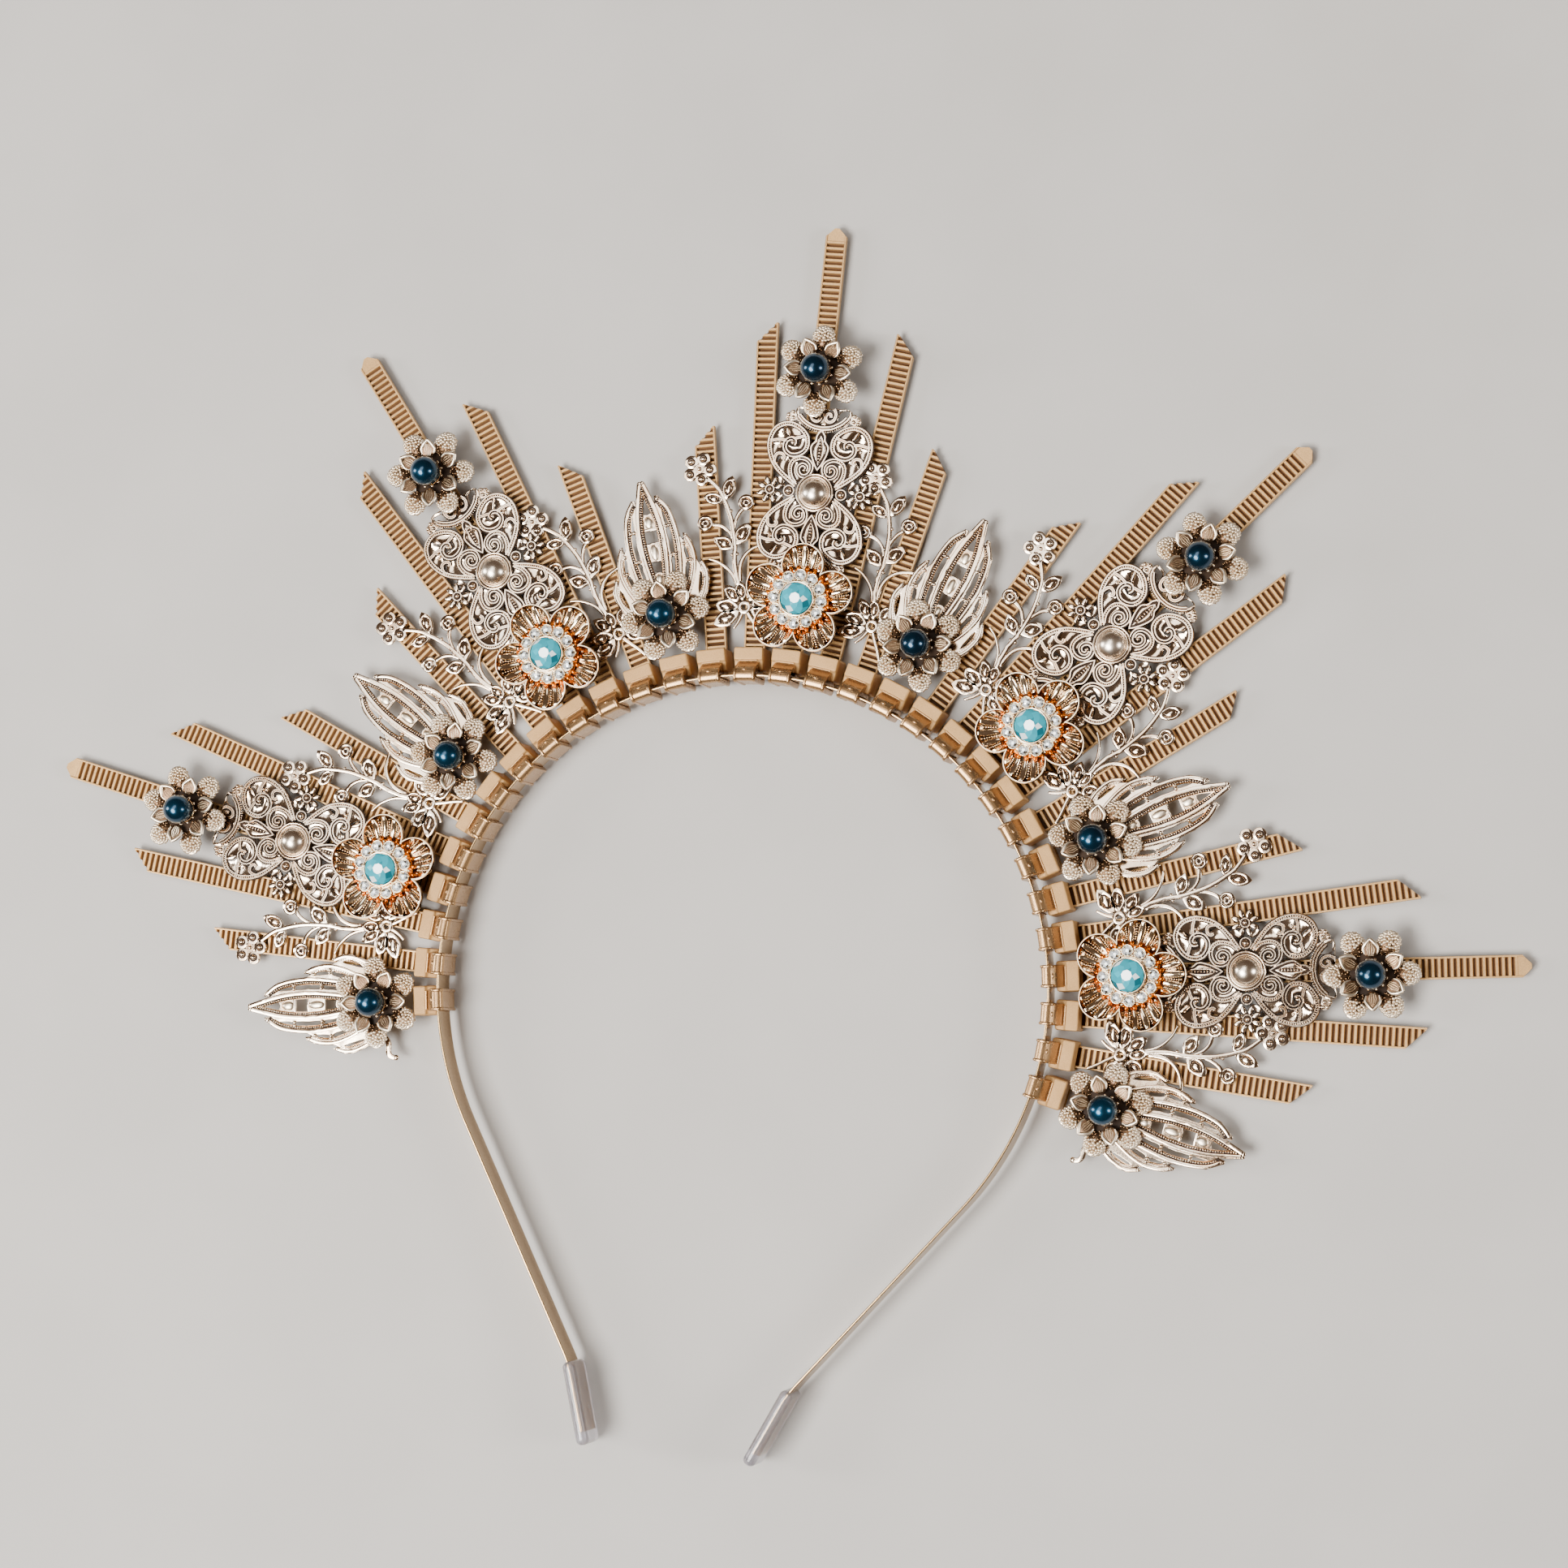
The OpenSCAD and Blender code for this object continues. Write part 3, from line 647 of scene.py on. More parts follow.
def quarter_turns(mirrored_x: bool = True, mirrored_y: bool = True) -> list[Matrix]:
    """The matrices that mirror a quadrant into the others."""
    return [sized(sx, sy, 1) for sx in ((1, -1) if mirrored_x else (1,))
            for sy in ((1, -1) if mirrored_y else (1,))]


def spins(count: int, first: float = 0.0) -> list[Matrix]:
    """Even turns about Z, from a first angle in degrees."""
    return [turned(first + 360 * i / count) for i in range(count)]


def repeated(make: Callable[[Tray], None], turns: Iterable[Matrix]) -> list[Piece]:
    """Models some parts once and copies them.

    Args:
        make: models the parts on a tray.
        turns: a matrix for each copy.

    Returns:
        The copies, each one mesh.
    """
    tray = Tray(PALE_GOLD)
    make(tray)
    tray.repeat(turns)
    return tray.parts


# Placing

@dataclass(frozen=True)
class Plan:
    """The crown's plan: where each piece lies round the arc.

    Args:
        tie_step: degrees between two ties.
        ray_step: degrees between two ray groups.
        dome_r: distance from the arc's centre to a panel's dome; the other radii are measured likewise.
        spray_side: how far a spray's hub sits beside its line, clockwise.
        sway: for each ray group, how far its stone flower, panel, pearl flower and long ray's tip sit beside
            the even spacing, clockwise.
    """
    tie_step: float = 6.67
    ray_step: float = 40.0
    dome_r: float = 101.0
    tip_pearl_r: float = 125.4
    leaf_pearl_r: float = 77.3
    stone_r: float = 78.7
    spray_r: float = 77.2
    spray_side: float = 2.4
    sway: tuple[tuple[float, float, float, float], ...] = (
        (0.1, -0.5, -1.5, -0.6), (2.2, 0.5, 0.0, 0.0), (1.4, 0.5, -1.6, -2.9), (1.8, -0.2, -0.2, -2.2),
        (0.5, 0.3, 2.0, 1.3))

    @property
    def middle_y(self) -> float:
        """How far the frame's origin lies above the arc's centre."""
        return RAY_LONG - cad_box[1][1] / MM

    def ray_angle(self, group: int) -> float:
        """Degrees clockwise from the top to a ray group, 1 to 5."""
        return self.ray_step * (group - 3)

    def leaf_angle(self, leaf: int) -> float:
        """Degrees clockwise from the top to a leaf, 1 to 6."""
        return self.ray_step * (leaf - 3.5)

    def spot(self, angle: float, radius: float = 0.0, height: float = 0.0, side: float = 0.0,
             turn: float = 0.0) -> Matrix:
        """The matrix that takes a local mesh in millimetres to its place in the frame.

        Args:
            angle: degrees clockwise from the top.
            radius: distance from the arc's centre.
            height: height above the floor.
            side: shift sideways, clockwise.
            turn: turn of the piece itself, degrees anticlockwise.

        Returns:
            The matrix, in metres.
        """
        return (Matrix.Scale(MM, 4) @ moved(0, -self.middle_y, 0) @ turned(-angle)
                @ moved(side, radius, height) @ turned(turn))


PLAN = Plan()


def place(model: Mesh, name: str, spots: Sequence[Matrix], slot: str, *nodes: str,
          sharp: float = 50.0) -> Piece:
    """Lays copies of a local mesh in the frame as one piece.

    Args:
        model: the local mesh.
        name: the piece's name.
        spots: one matrix for each copy.
        slot: the record's material slot; not used.
        nodes: the CAD nodes that the piece stands for.
        sharp: edges sharper than this stay sharp, in degrees.

    Returns:
        The piece.
    """
    tray = Tray(PALE_GOLD)
    tray.lay(model, spots)
    piece = tray.weld(name)
    pick(piece)
    bpy.ops.object.shade_smooth_by_angle(angle=math.radians(sharp))
    apply(piece, "WEIGHTED_NORMAL", keep_sharp=True)
    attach(piece, "root")
    if nodes:
        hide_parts(*nodes)
    log.info("%s: %d faces", name, len(piece.data.polygons))
    return piece


# Ties

class Cut(Enum):
    """How a tail's tip is cut."""
    RIGHT = 1
    BLUNT = 0
    LEFT = -1


@dataclass
class CableTie:
    """One cable tie looped round the band, in its own frame: Y outward, Z to the front.

    Args:
        rail_w: width of the loop's raised rails.
        head_in: where the head starts, from the arc's centre; head_out is where it ends.
        slot_z: height of the tail's lower face.
        loop_in: the loop's inner faces; loop_out, loop_low and loop_high are the others.
        tooth_p: distance between two teeth.
        blunt_l: length of the smooth end of an uncut tail.
        slant: how steep a cut tip is.
    """
    strap_w: float = 4.4
    strap_t: float = 1.1
    rail_w: float = 0.6
    head_w: float = 6.0
    head_in: float = 63.97
    head_out: float = 68.7
    head_d: float = 7.4
    slot_z: float = 1.3
    loop_in: float = 62.43
    loop_out: float = 63.17
    loop_low: float = 2.48
    loop_high: float = 9.72
    tooth_p: float = 1.22
    blunt_l: float = 3.0
    slant: float = 1.15

    def _head(self, tray: Tray) -> None:
        """The head with its soft corners and the slot that the tail comes out of."""
        back, front, deep = self.head_in, self.head_out, self.head_d
        side = [(back, 0.0), (front, 0.0), (front, deep), (back + 2.2, deep), (back + 1.9, deep - 0.5),
                (back, deep - 0.9)]
        head = tray.of(TIE_GRAIN).wall(rounded(side, 0.35), -self.head_w / 2, self.head_w / 2, 0.45)
        pocket = Tray(TIE_GRAIN).solid(bpy.ops.mesh.primitive_cube_add,
                                       moved(0, self.head_out, self.slot_z + 0.55)
                                       @ sized(self.strap_w + 0.5, 1.8, self.strap_t + 0.8), size=1)
        apply(head, "BOOLEAN", object=pocket, operation="DIFFERENCE", solver="EXACT")
        bpy.data.objects.remove(pocket)

    def _root(self, tray: Tray) -> None:
        """The strap's root, from the head's front down to the loop, with its lip and small oval mark."""
        back, deep, top, half = self.head_in, self.head_d, self.loop_high + self.strap_t, self.strap_w / 2
        side = [(back - 0.9, deep - 1.5), (back + 1.8, deep - 1.5), (back + 1.75, deep - 0.1), (back + 1.2, deep + 0.9),
                (back + 0.5, deep + 2.3), (back - 0.5, top - 0.25), (back - 0.9, top - 0.6)]
        tray.of(LOOP_GOLD).wall(rounded(side, 0.4), -half, half, 0.3)
        tray.wires([[(x, back + 2.0, deep + 0.02) for x in (-half + 0.3, half - 0.3)]], deep, 0.16)
        tray.ball((0, back - 0.1, top - 0.55), 0.5, 2, (1.1, 0.55, 0.5))

    def _loop(self, tray: Tray) -> None:
        """The strap round the band: a recessed middle between two raised rails."""
        tray.of(LOOP_GOLD)
        hole = rounded(box(self.loop_in, self.loop_out, self.loop_low, self.loop_high), 0.15, 2)
        half = self.strap_w / 2
        for left, right, wall, soft in ((-half + self.rail_w, half - self.rail_w, self.strap_t - 0.2, 0.02),
                                        (-half, -half + self.rail_w, self.strap_t, 0.2),
                                        (half - self.rail_w, half, self.strap_t, 0.2)):
            outer = rounded(box(self.loop_in - wall, self.loop_out + wall, self.loop_low - wall,
                                self.loop_high + wall), 1.25, 5)
            tray.wall(outer, left, right, soft, [hole])

    def _tail(self, tray: Tray, reach: float, cut: Cut, lean: float) -> None:
        """The toothed tail between its rails, cut to its tip and leaned by some degrees."""
        half, inner = self.strap_w / 2, self.strap_w / 2 - 0.2
        start, floor, top = self.head_out - 1.5, self.slot_z + 0.35, self.slot_z + self.strap_t + 0.1
        plain = self.blunt_l if cut is Cut.BLUNT else 0.0
        last = reach - plain if plain else reach + 1
        # The floor between the teeth is dark: painted shade in the gaps, and thinner gold paint there.
        pieces = [tray.of(TIE_GAP_SHADE_AND_THIN_PAINT).wall(box(start, last, self.slot_z, floor), -inner, inner)]
        if plain:
            pieces.append(tray.of(STRAP_GOLD).wall(box(last, reach + 1, self.slot_z, top - 0.2), -inner, inner))
        teeth = Tray(STRAP_GOLD)
        teeth.wall([(-0.06, floor - 0.05), (0.0, top - 0.24), (0.12, top - 0.12), (0.56, top - 0.12),
                     (0.7, top - 0.26), (0.76, floor - 0.05)], -inner, inner)
        first = self.head_out + 0.6
        teeth.repeat(moved(0, first + i * self.tooth_p, 0)
                     for i in range(int((reach - first - plain) / self.tooth_p) + 1))
        pieces.append(teeth.weld("teeth"))
        tray.parts.append(pieces[-1])
        edge = rounded(box(start, reach + 1, self.slot_z, top), 0.1, 2)
        for left in (-half, half - 0.42):
            pieces.append(tray.of(STRAP_GOLD).wall(edge, left, left + 0.42, 0.12))
        for piece in pieces:
            cut_away(piece, (0, reach, 0), (0, 1, 0))
            if cut is Cut.BLUNT:
                for side in (1, -1):
                    cut_away(piece, (side * 0.45, reach, 0), (side * 3.4, 1.75, 0))
            else:
                cut_away(piece, (cut.value * (half - 0.4), reach, 0), (-cut.value * self.slant, 1, 0))
            piece.data.transform(moved(0, self.head_out - 2, 0) @ turned(lean)
                                 @ moved(0, 2 - self.head_out, 0))

    def build(self, reach: float = 0.0, cut: Cut = Cut.BLUNT, lean: float = 0.0) -> Mesh:
        """Makes one tie.

        Args:
            reach: radius of its tip, or 0 for a trimmed tie.
            cut: how the tip is cut.
            lean: lean of the tail, in degrees.

        Returns:
            The tie's local mesh.
        """
        tray = Tray(TIE_GRAIN)
        self._head(tray)
        self._root(tray)
        self._loop(tray)
        if reach:
            self._tail(tray, reach, cut, lean)
        else:
            stub = box(self.head_out - 1.6, self.head_out - 0.2, self.slot_z, self.slot_z + self.strap_t)
            tray.wall(stub, -self.strap_w / 2, self.strap_w / 2, 0.05)
        return tray.model("tie")


@dataclass
class Rays:
    """The five groups of rays and the trimmed ties behind the leaves."""
    tie: CableTie = field(default_factory=CableTie)
    reaches: tuple[float, ...] = (115.0, 135.7, 155.5, 135.7, 115.0)
    lean: float = 1.9

    def build(self) -> None:
        """Makes all the ties, one piece for each group."""
        cuts = (Cut.RIGHT, Cut.RIGHT, Cut.BLUNT, Cut.LEFT, Cut.LEFT)
        sides = {i: self.tie.build(self.reaches[i + 2], cuts[i + 2], i * self.lean / 2) for i in (-2, -1, 1, 2)}
        for group in range(1, 6):
            lean = -math.degrees(math.asin(PLAN.sway[group - 1][3] / (RAY_LONG - self.tie.head_out)))
            ties = {**sides, 0: self.tie.build(self.reaches[2], Cut.BLUNT, lean)}
            tray = Tray(TIE_GRAIN)
            for i in range(-2, 3):
                tray.lay(ties[i], [PLAN.spot(PLAN.ray_angle(group) + i * PLAN.tie_step)])
            place(tray.model(), f"rays_{group}", [Matrix.Identity(4)], "gold_tie", f"ray_ties_{group}", sharp=40)
        trimmed = self.tie.build()
        place(trimmed, "cut_ties", [PLAN.spot(PLAN.leaf_angle(k)) for k in range(1, 7)], "gold_tie",
              "trimmed_ties")


# Pierced panels

@dataclass
class Panel:
    """A pierced panel in its own frame: dome at the origin, Y outward, back face on Z = 0.

    All outlines lie in the upper right quadrant and are mirrored into the others.

    Args:
        line: radius of the fine bright lines.
        height: how high the panel lies above the floor.
        lobe: outline of a lobe, followed by the crest's outline.
        scroll: the groove of the large scroll; arch, hook, bridges, curl and crest_line are grooves too.
        voids: the openings of a lobe.
        crest_tab: the small plate under the crest's berries.
        dome_rings: radius and wire radius of the rings round the dome.
        navette: half of the centre leaf's outline.
    """
    plate_t: float = 0.7
    line: float = 0.22
    dome_r: float = 2.95
    height: float = 3.65
    lobe: Points = (
        (7.7, 2.9), (8.9, 4.6), (10.1, 6.6), (10.85, 9.2), (10.5, 11.5), (9.0, 13.4), (6.8, 14.05), (5.0, 13.7))
    crest: Points = ((5.7, 15.3), (5.9, 16.2), (5.7, 17.0), (4.8, 17.4), (2.6, 17.3))
    scroll: Points = (
        (4.1, 1.2), (6.3, 2.7), (8.5, 4.6), (9.9, 6.8), (10.5, 9.4), (10.0, 11.7), (8.7, 13.1), (6.8, 13.65),
        (4.7, 13.0), (3.1, 11.6), (2.6, 9.9), (3.0, 8.4), (4.3, 7.45), (5.8, 7.3), (7.0, 8.1), (7.3, 9.2),
        (6.9, 10.2), (6.0, 10.6), (5.3, 10.1), (5.5, 9.4))
    arch: Points = (
        (4.3, 1.6), (5.35, 3.1), (5.65, 4.9), (5.1, 6.2), (3.8, 6.8), (2.4, 6.6), (1.4, 5.7), (1.3, 4.4), (2.0, 3.35),
        (3.1, 3.2), (3.85, 3.9), (3.9, 4.9), (3.1, 5.5), (2.3, 5.1), (2.4, 4.3))
    hook: Points = ((9.0, 5.0), (9.1, 6.3), (8.7, 7.3), (7.7, 7.4), (7.1, 6.8), (7.4, 6.2))
    outer_bridge: Points = ((7.0, 10.2), (8.7, 10.25), (10.4, 9.8))
    inner_bridge: Points = ((5.3, 10.7), (4.4, 11.0), (3.2, 11.4))
    voids: tuple[Points, ...] = (
        ((3.3, 11.3), (3.8, 12.0), (4.7, 12.7), (5.8, 13.0), (6.9, 13.0), (7.1, 12.7), (6.7, 12.0), (6.2, 11.3),
         (5.4, 11.1), (4.4, 11.1)),
        ((8.3, 12.2), (9.1, 11.5), (9.8, 10.4), (9.5, 10.25), (8.2, 10.3), (7.3, 10.7), (7.6, 11.1), (8.0, 11.6)),
        ((8.3, 9.3), (9.8, 9.2), (10.0, 8.4), (9.8, 7.4), (9.2, 6.3), (8.9, 6.0), (8.8, 6.9), (8.3, 8.0), (8.1, 8.8)),
        ((3.2, 10.2), (3.4, 9.2), (4.1, 8.3), (5.0, 7.9), (6.0, 7.95), (6.6, 8.6), (6.3, 9.0), (5.4, 8.75),
         (4.7, 9.0), (4.3, 9.7), (4.3, 10.4), (3.7, 10.6)),
        ((6.5, 6.6), (7.0, 6.2), (7.6, 6.5), (8.1, 5.8), (8.2, 4.9), (7.6, 3.7), (6.3, 2.6), (5.8, 2.4), (6.0, 3.3),
         (6.2, 4.6), (6.1, 5.8)),
        ((4.7, 5.7), (4.95, 4.9), (4.9, 3.8), (4.4, 2.6), (4.1, 2.2), (3.4, 2.8), (3.9, 3.5), (4.2, 4.6), (4.1, 5.4)),
        ((6.7, 1.2), (7.5, 1.4), (8.0, 2.2), (7.5, 2.5), (6.9, 2.0)))
    crest_void: Points = ((3.2, 14.2), (4.5, 15.1), (5.2, 16.8), (4.4, 17.0), (3.5, 16.6), (3.1, 15.4))
    crest_tab: Points = ((5.2, 14.6), (6.9, 14.1), (7.9, 14.7), (7.7, 15.8), (6.6, 16.4), (5.6, 16.2))
    dome_rings: Rows = ((3.72, 0.24), (3.16, 0.2))
    boss_out: float = 5.45
    daisy_out: float = 9.4
    navette: Points = (
        (0.0, 12.8), (0.8, 11.6), (0.95, 10.5), (1.75, 9.4), (1.6, 7.9), (0.9, 6.1), (0.0, 4.6))
    crest_line: Points = ((5.0, 15.5), (3.9, 14.4), (2.0, 13.4), (0.0, 13.1))
    curl: Points = (
        (2.1, 17.2), (2.6, 16.2), (2.2, 14.9), (1.2, 14.5), (0.5, 15.2), (0.8, 16.1), (1.5, 16.1), (1.6, 15.5))

    def _chased(self, tray: Tray, path: Sequence[Point], gap: float, thin: float = 1.0) -> None:
        """Two bright lines side by side with a groove between them and beside them, painted dark as shade.

        Args:
            tray: where the lines go.
            path: the middle of the groove.
            gap: distance between the two lines.
            thin: the lines' thickness, relative to the panel's usual one.
        """
        wire = self.line * thin
        tray.of(GROOVE_PAINTED_SHADE).ribbon(path, gap + 2 * wire + 0.3, self.plate_t - 0.3, self.plate_t + 0.04, soft=0)
        tray.of(PALE_GOLD).wires([beside(path, gap / 2), beside(path, -gap / 2)], self.plate_t + wire * 0.75, wire)

    def _quadrant(self, tray: Tray) -> None:
        """The scrolls, twigs and berries of one quadrant."""
        top = self.plate_t
        for points, gap, thin in ((self.scroll, 0.6, 1.0), (self.arch, 0.56, 0.95), (self.hook, 0.36, 0.8),
                                  (self.outer_bridge, 0.34, 0.8), (self.inner_bridge, 0.34, 0.8),
                                  (self.curl, 0.36, 0.8)):
            self._chased(tray, smooth(points, 3), gap, thin)
        twig = blade((6.3, 10.9), (8.0, 13.4), 1.05)
        tray.plate(twig, 0.2, top + 0.12, soft=0.1)
        tray.wires([shrunk(twig, 0.85)], top + 0.12, 0.12, 4, closed=True)
        tray.balls([(7.9, 9.4, top), (8.6, 9.0, top), (8.4, 9.75, top + 0.1)], 0.34, 2)
        tray.ball((5.75, 9.9, top), 0.5, 2)
        tray.ball((2.75, 4.4, top + 0.1), 0.42, 2)
        tray.ball((7.5, 6.5, top), 0.3, 2)
        tray.plate(self.crest_tab, 0.15, 0.55, soft=0.12)
        tray.balls([(7.3, 15.5, 0.62), (6.4, 16.1, 0.62), (7.3, 14.55, 0.62), (6.3, 14.95, 0.66)], 0.47, 2)
        tray.balls([(x, y, top + 0.1) for x, y in spaced(smooth(self.scroll[:12], 3), 0.46)], 0.17, 1)
        tray.balls([(x, y, top + 0.1) for x, y in spaced(smooth(self.arch[:5], 3), 0.44)], 0.15, 1)

    def _half(self, tray: Tray) -> None:
        """The centre leaf with its beads, and the crest's two lines."""
        top = self.plate_t
        outline = both_sides(smooth(self.navette, 3))
        # A dark sheet under the leaf's outline: painted shade round its edge.
        tray.of(GROOVE_PAINTED_SHADE).plate(shrunk(outline, 1.1), 0.3, top + 0.05, soft=0)
        tray.of(PALE_GOLD).wires([outline], top + 0.15, self.line, closed=True)
        tray.plate(shrunk(outline, 0.74), 0.3, top + 0.3, [blade((0, 5.9), (0, 11.2), 0.75, 8, 0.6)], soft=0.12)
        tray.balls([(0, 6.3 + 0.62 * i, top + 0.15) for i in range(8)], 0.26, 1, (1.25, 1, 1))
        line = smooth(self.crest_line, 4)
        whole = line + [(-x, y) for x, y in reversed(line[:-1])]
        self._chased(tray, whole, 0.54)
        tray.balls([(x, y, top + 0.12) for x, y in spaced(beside(whole, 0.75), 0.48)], 0.2, 1)

    def _daisy(self, tray: Tray) -> None:
        """One daisy: a bead in a ring and eight outlined petals, with painted shade round the petals and the bead."""
        for i in range(8):
            petal = blade(polar(0.95, 22.5 + 45 * i), polar(2.85, 22.5 + 45 * i), 1.0, 6, 0.6)
            # Dark sheets under each petal: painted shade round it.
            tray.of(GROOVE_PAINTED_SHADE).plate(shrunk(petal, 1.12), 0.1, self.plate_t - 0.2, soft=0)
            tray.of(PALE_GOLD).plate(shrunk(petal, 0.94), 0.1, self.plate_t + 0.15, soft=0.14)
        # Dark disc at the centre: painted shade round the bead.
        tray.of(GROOVE_PAINTED_SHADE).disc((0, 0), 0.1, self.plate_t, 1.15, around=16)
        tray.of(PALE_GOLD).hoop((0, 0, self.plate_t + 0.05), 0.88, 0.15, 16)
        tray.ball((0, 0, self.plate_t + 0.1), 0.45, 2)

    def build(self) -> Mesh:
        """Makes the panel's local mesh."""
        edge = [(8.7, 0.0), (8.6, 1.4)] + smooth(self.lobe, 4) + smooth(self.crest, 3) + [(0.0, 17.3)]
        upper = [p for p in both_sides(edge) if p[1] >= -1e-6]
        whole = upper + [(x, -y) for x, y in reversed(upper) if y > 1e-6]
        holes = [[(-0.5, sy * 14.2), (0.5, sy * 14.2), (0.4, sy * 16.3), (-0.4, sy * 16.3)] for sy in (1, -1)]
        holes += [[(sx * x, sy * y) for x, y in shrunk(smooth(hole, 2, closed=True), 1.08)]
                  for sx in (1, -1) for sy in (1, -1) for hole in (*self.voids, self.crest_void)]
        relief = (repeated(self._quadrant, quarter_turns())
                  + repeated(self._half, quarter_turns(mirrored_x=False))
                  + repeated(self._daisy, [moved(side * self.daisy_out, 0, 0) for side in (1, -1)]))
        tray = Tray(PALE_GOLD)
        tray.plate(whole, 0.0, self.plate_t, holes, soft=0.14)
        top = self.plate_t
        # Dark disc under the dome's rings: painted shade round the dome.
        tray.of(GROOVE_PAINTED_SHADE).disc((0, 0), 0.1, top + 0.2, 4.05, soft=0.1, around=40)
        for radius, wire in self.dome_rings:
            tray.of(PALE_GOLD).hoop((0, 0, top + 0.3), radius, wire, 40, 8)
        dome = tray.of(DOME_GOLD).solid(bpy.ops.mesh.primitive_uv_sphere_add, sized(1, 1, 1), segments=40,
                                        ring_count=20, radius=self.dome_r)
        cut_away(dome, (0, 0, 0), (0, 0, -1))
        dome.data.transform(moved(0, 0, top + 0.1) @ sized(1, 1, 0.86))
        for side in (-1, 1):
            x = side * self.boss_out
            # Dark disc under each boss: painted shade round it.
            tray.of(GROOVE_PAINTED_SHADE).disc((x, 0), 0.1, top + 0.03, 1.1, soft=0)
            tray.of(PALE_GOLD).hoop((x, 0, top), 1.05, 0.14, 20)
            tray.ball((x, 0, top + 0.05), 0.66, 3)
        tray.parts += relief
        return tray.model("panel")


# Leaves

@dataclass
class Leaf:
    """A pierced leaf in its own frame: pearl at the origin, Y outward, back face on Z = 0.

    Args:
        pips: small beads between the right half's lines.
        ovals: each oval's distance out, half width, half length and the radius of the wire over it.
        bars: each crossbar's distance out, half length and width.
        stalk: the curled stalk of an outer leaf.
    """
    plate_t: float = 0.7
    height: float = 3.65
    edge: Points = (
        (0.0, 28.2), (0.9, 26.4), (2.0, 23.6), (2.1, 25.0), (2.9, 25.0), (3.6, 23.8), (4.9, 22.0), (5.6, 18.7),
        (5.85, 15.6), (6.4, 14.6), (6.5, 16.2), (7.2, 15.9), (8.0, 14.2), (8.35, 12.0), (8.4, 9.8), (8.9, 8.6),
        (9.1, 10.2), (9.6, 9.4), (10.3, 7.5), (10.2, 5.6), (9.2, 3.0), (7.6, 0.6), (5.4, -1.6), (0.0, -2.6))
    centre_line: Points = (
        (0.3, 28.0), (1.05, 25.4), (1.95, 21.8), (2.45, 17.8), (2.45, 13.8), (2.1, 10.2), (1.6, 6.8), (1.2, 3.5))
    second_line: Points = (
        (2.75, 24.3), (4.3, 22.0), (5.1, 18.7), (5.35, 15.0), (5.0, 10.8), (4.3, 7.0), (3.4, 3.6))
    third_line: Points = ((6.95, 15.3), (7.75, 13.0), (7.9, 10.2), (7.2, 7.4), (5.9, 4.6), (4.4, 2.2))
    fourth_line: Points = ((9.2, 9.3), (9.75, 7.4), (9.6, 5.5), (8.6, 3.0), (7.0, 1.0))
    voids: tuple[Points, ...] = (
        ((3.3, 22.0), (4.0, 20.4), (4.15, 19.0), (3.4, 18.8), (3.2, 20.4)),
        ((3.3, 17.9), (4.3, 17.9), (4.55, 15.0), (4.4, 12.9), (3.3, 12.9), (3.4, 15.2)),
        ((3.2, 11.7), (4.1, 11.7), (3.8, 9.4), (3.2, 7.8), (2.8, 8.4), (3.1, 10.0)),
        ((6.2, 13.5), (6.9, 13.0), (7.1, 11.2), (6.3, 10.9)),
        ((6.1, 9.9), (6.9, 9.5), (6.2, 7.2), (5.2, 5.6), (5.5, 8.0)),
        ((8.6, 7.6), (9.0, 6.4), (8.6, 4.8), (7.4, 3.2), (7.9, 5.4)))
    pips: Points = ((3.4, 18.35), (4.1, 18.35), (3.4, 12.3), (4.1, 12.3), (6.5, 10.4), (7.1, 10.4), (6.3, 13.9))
    ovals: Rows = ((19.7, 0.78, 1.1, 1.25), (13.5, 0.7, 1.45, 1.15), (7.8, 0.65, 0.95, 1.0))
    bars: Rows = ((18.4, 1.6, 0.5), (15.3, 1.5, 0.45))
    stalk: Points = ((6.2, 0.3), (7.2, -1.1), (8.6, -1.9), (10.1, -1.8), (11.1, -2.3), (11.4, -3.4))
    centre_voids: tuple[Points, ...] = (
        ((0.0, 25.3), (0.5, 24.0), (1.2, 21.8), (0.0, 21.5), (-1.2, 21.8), (-0.5, 24.0)),
        ((-1.4, 18.0), (1.4, 18.0), (1.4, 15.6), (-1.4, 15.6)),
        ((-1.2, 11.6), (1.2, 11.6), (1.0, 9.2), (-1.0, 9.2)))

    def _side(self, tray: Tray) -> None:
        """The four polished edges of the right half, each with its row of fine beads and its rounded tip."""
        top = self.plate_t
        lines = ((self.centre_line, 0.95, top + 0.5), (self.second_line, 0.85, top + 0.35),
                 (self.third_line, 0.8, top + 0.25), (self.fourth_line, 0.78, top + 0.15))
        for points, width, high in lines:
            path = smooth(points, 4)
            tray.of(PALE_GOLD).ribbon(path, width, 0.25, high, soft=0.14, end_width=width * 0.85)
            tray.disc(path[0], 0.25, high - 0.02, width / 2, 0.14, around=14)
            inner = beside(path, -width / 2 - 0.26)
            # The beads lie in a groove painted dark as shade.
            tray.of(GROOVE_PAINTED_SHADE).ribbon(inner, 0.62, 0.2, high - 0.32, soft=0)
            tray.of(PALE_GOLD).balls([(x, y, high - 0.24) for x, y in spaced(inner, 0.5)[1:]], 0.21, 1)
            tray.wires([beside(path, -width / 2 - 0.58)[2:]], high - 0.3, 0.13, 4)
        tray.balls([(x, y, top + 0.1) for x, y in self.pips], 0.42, 2)

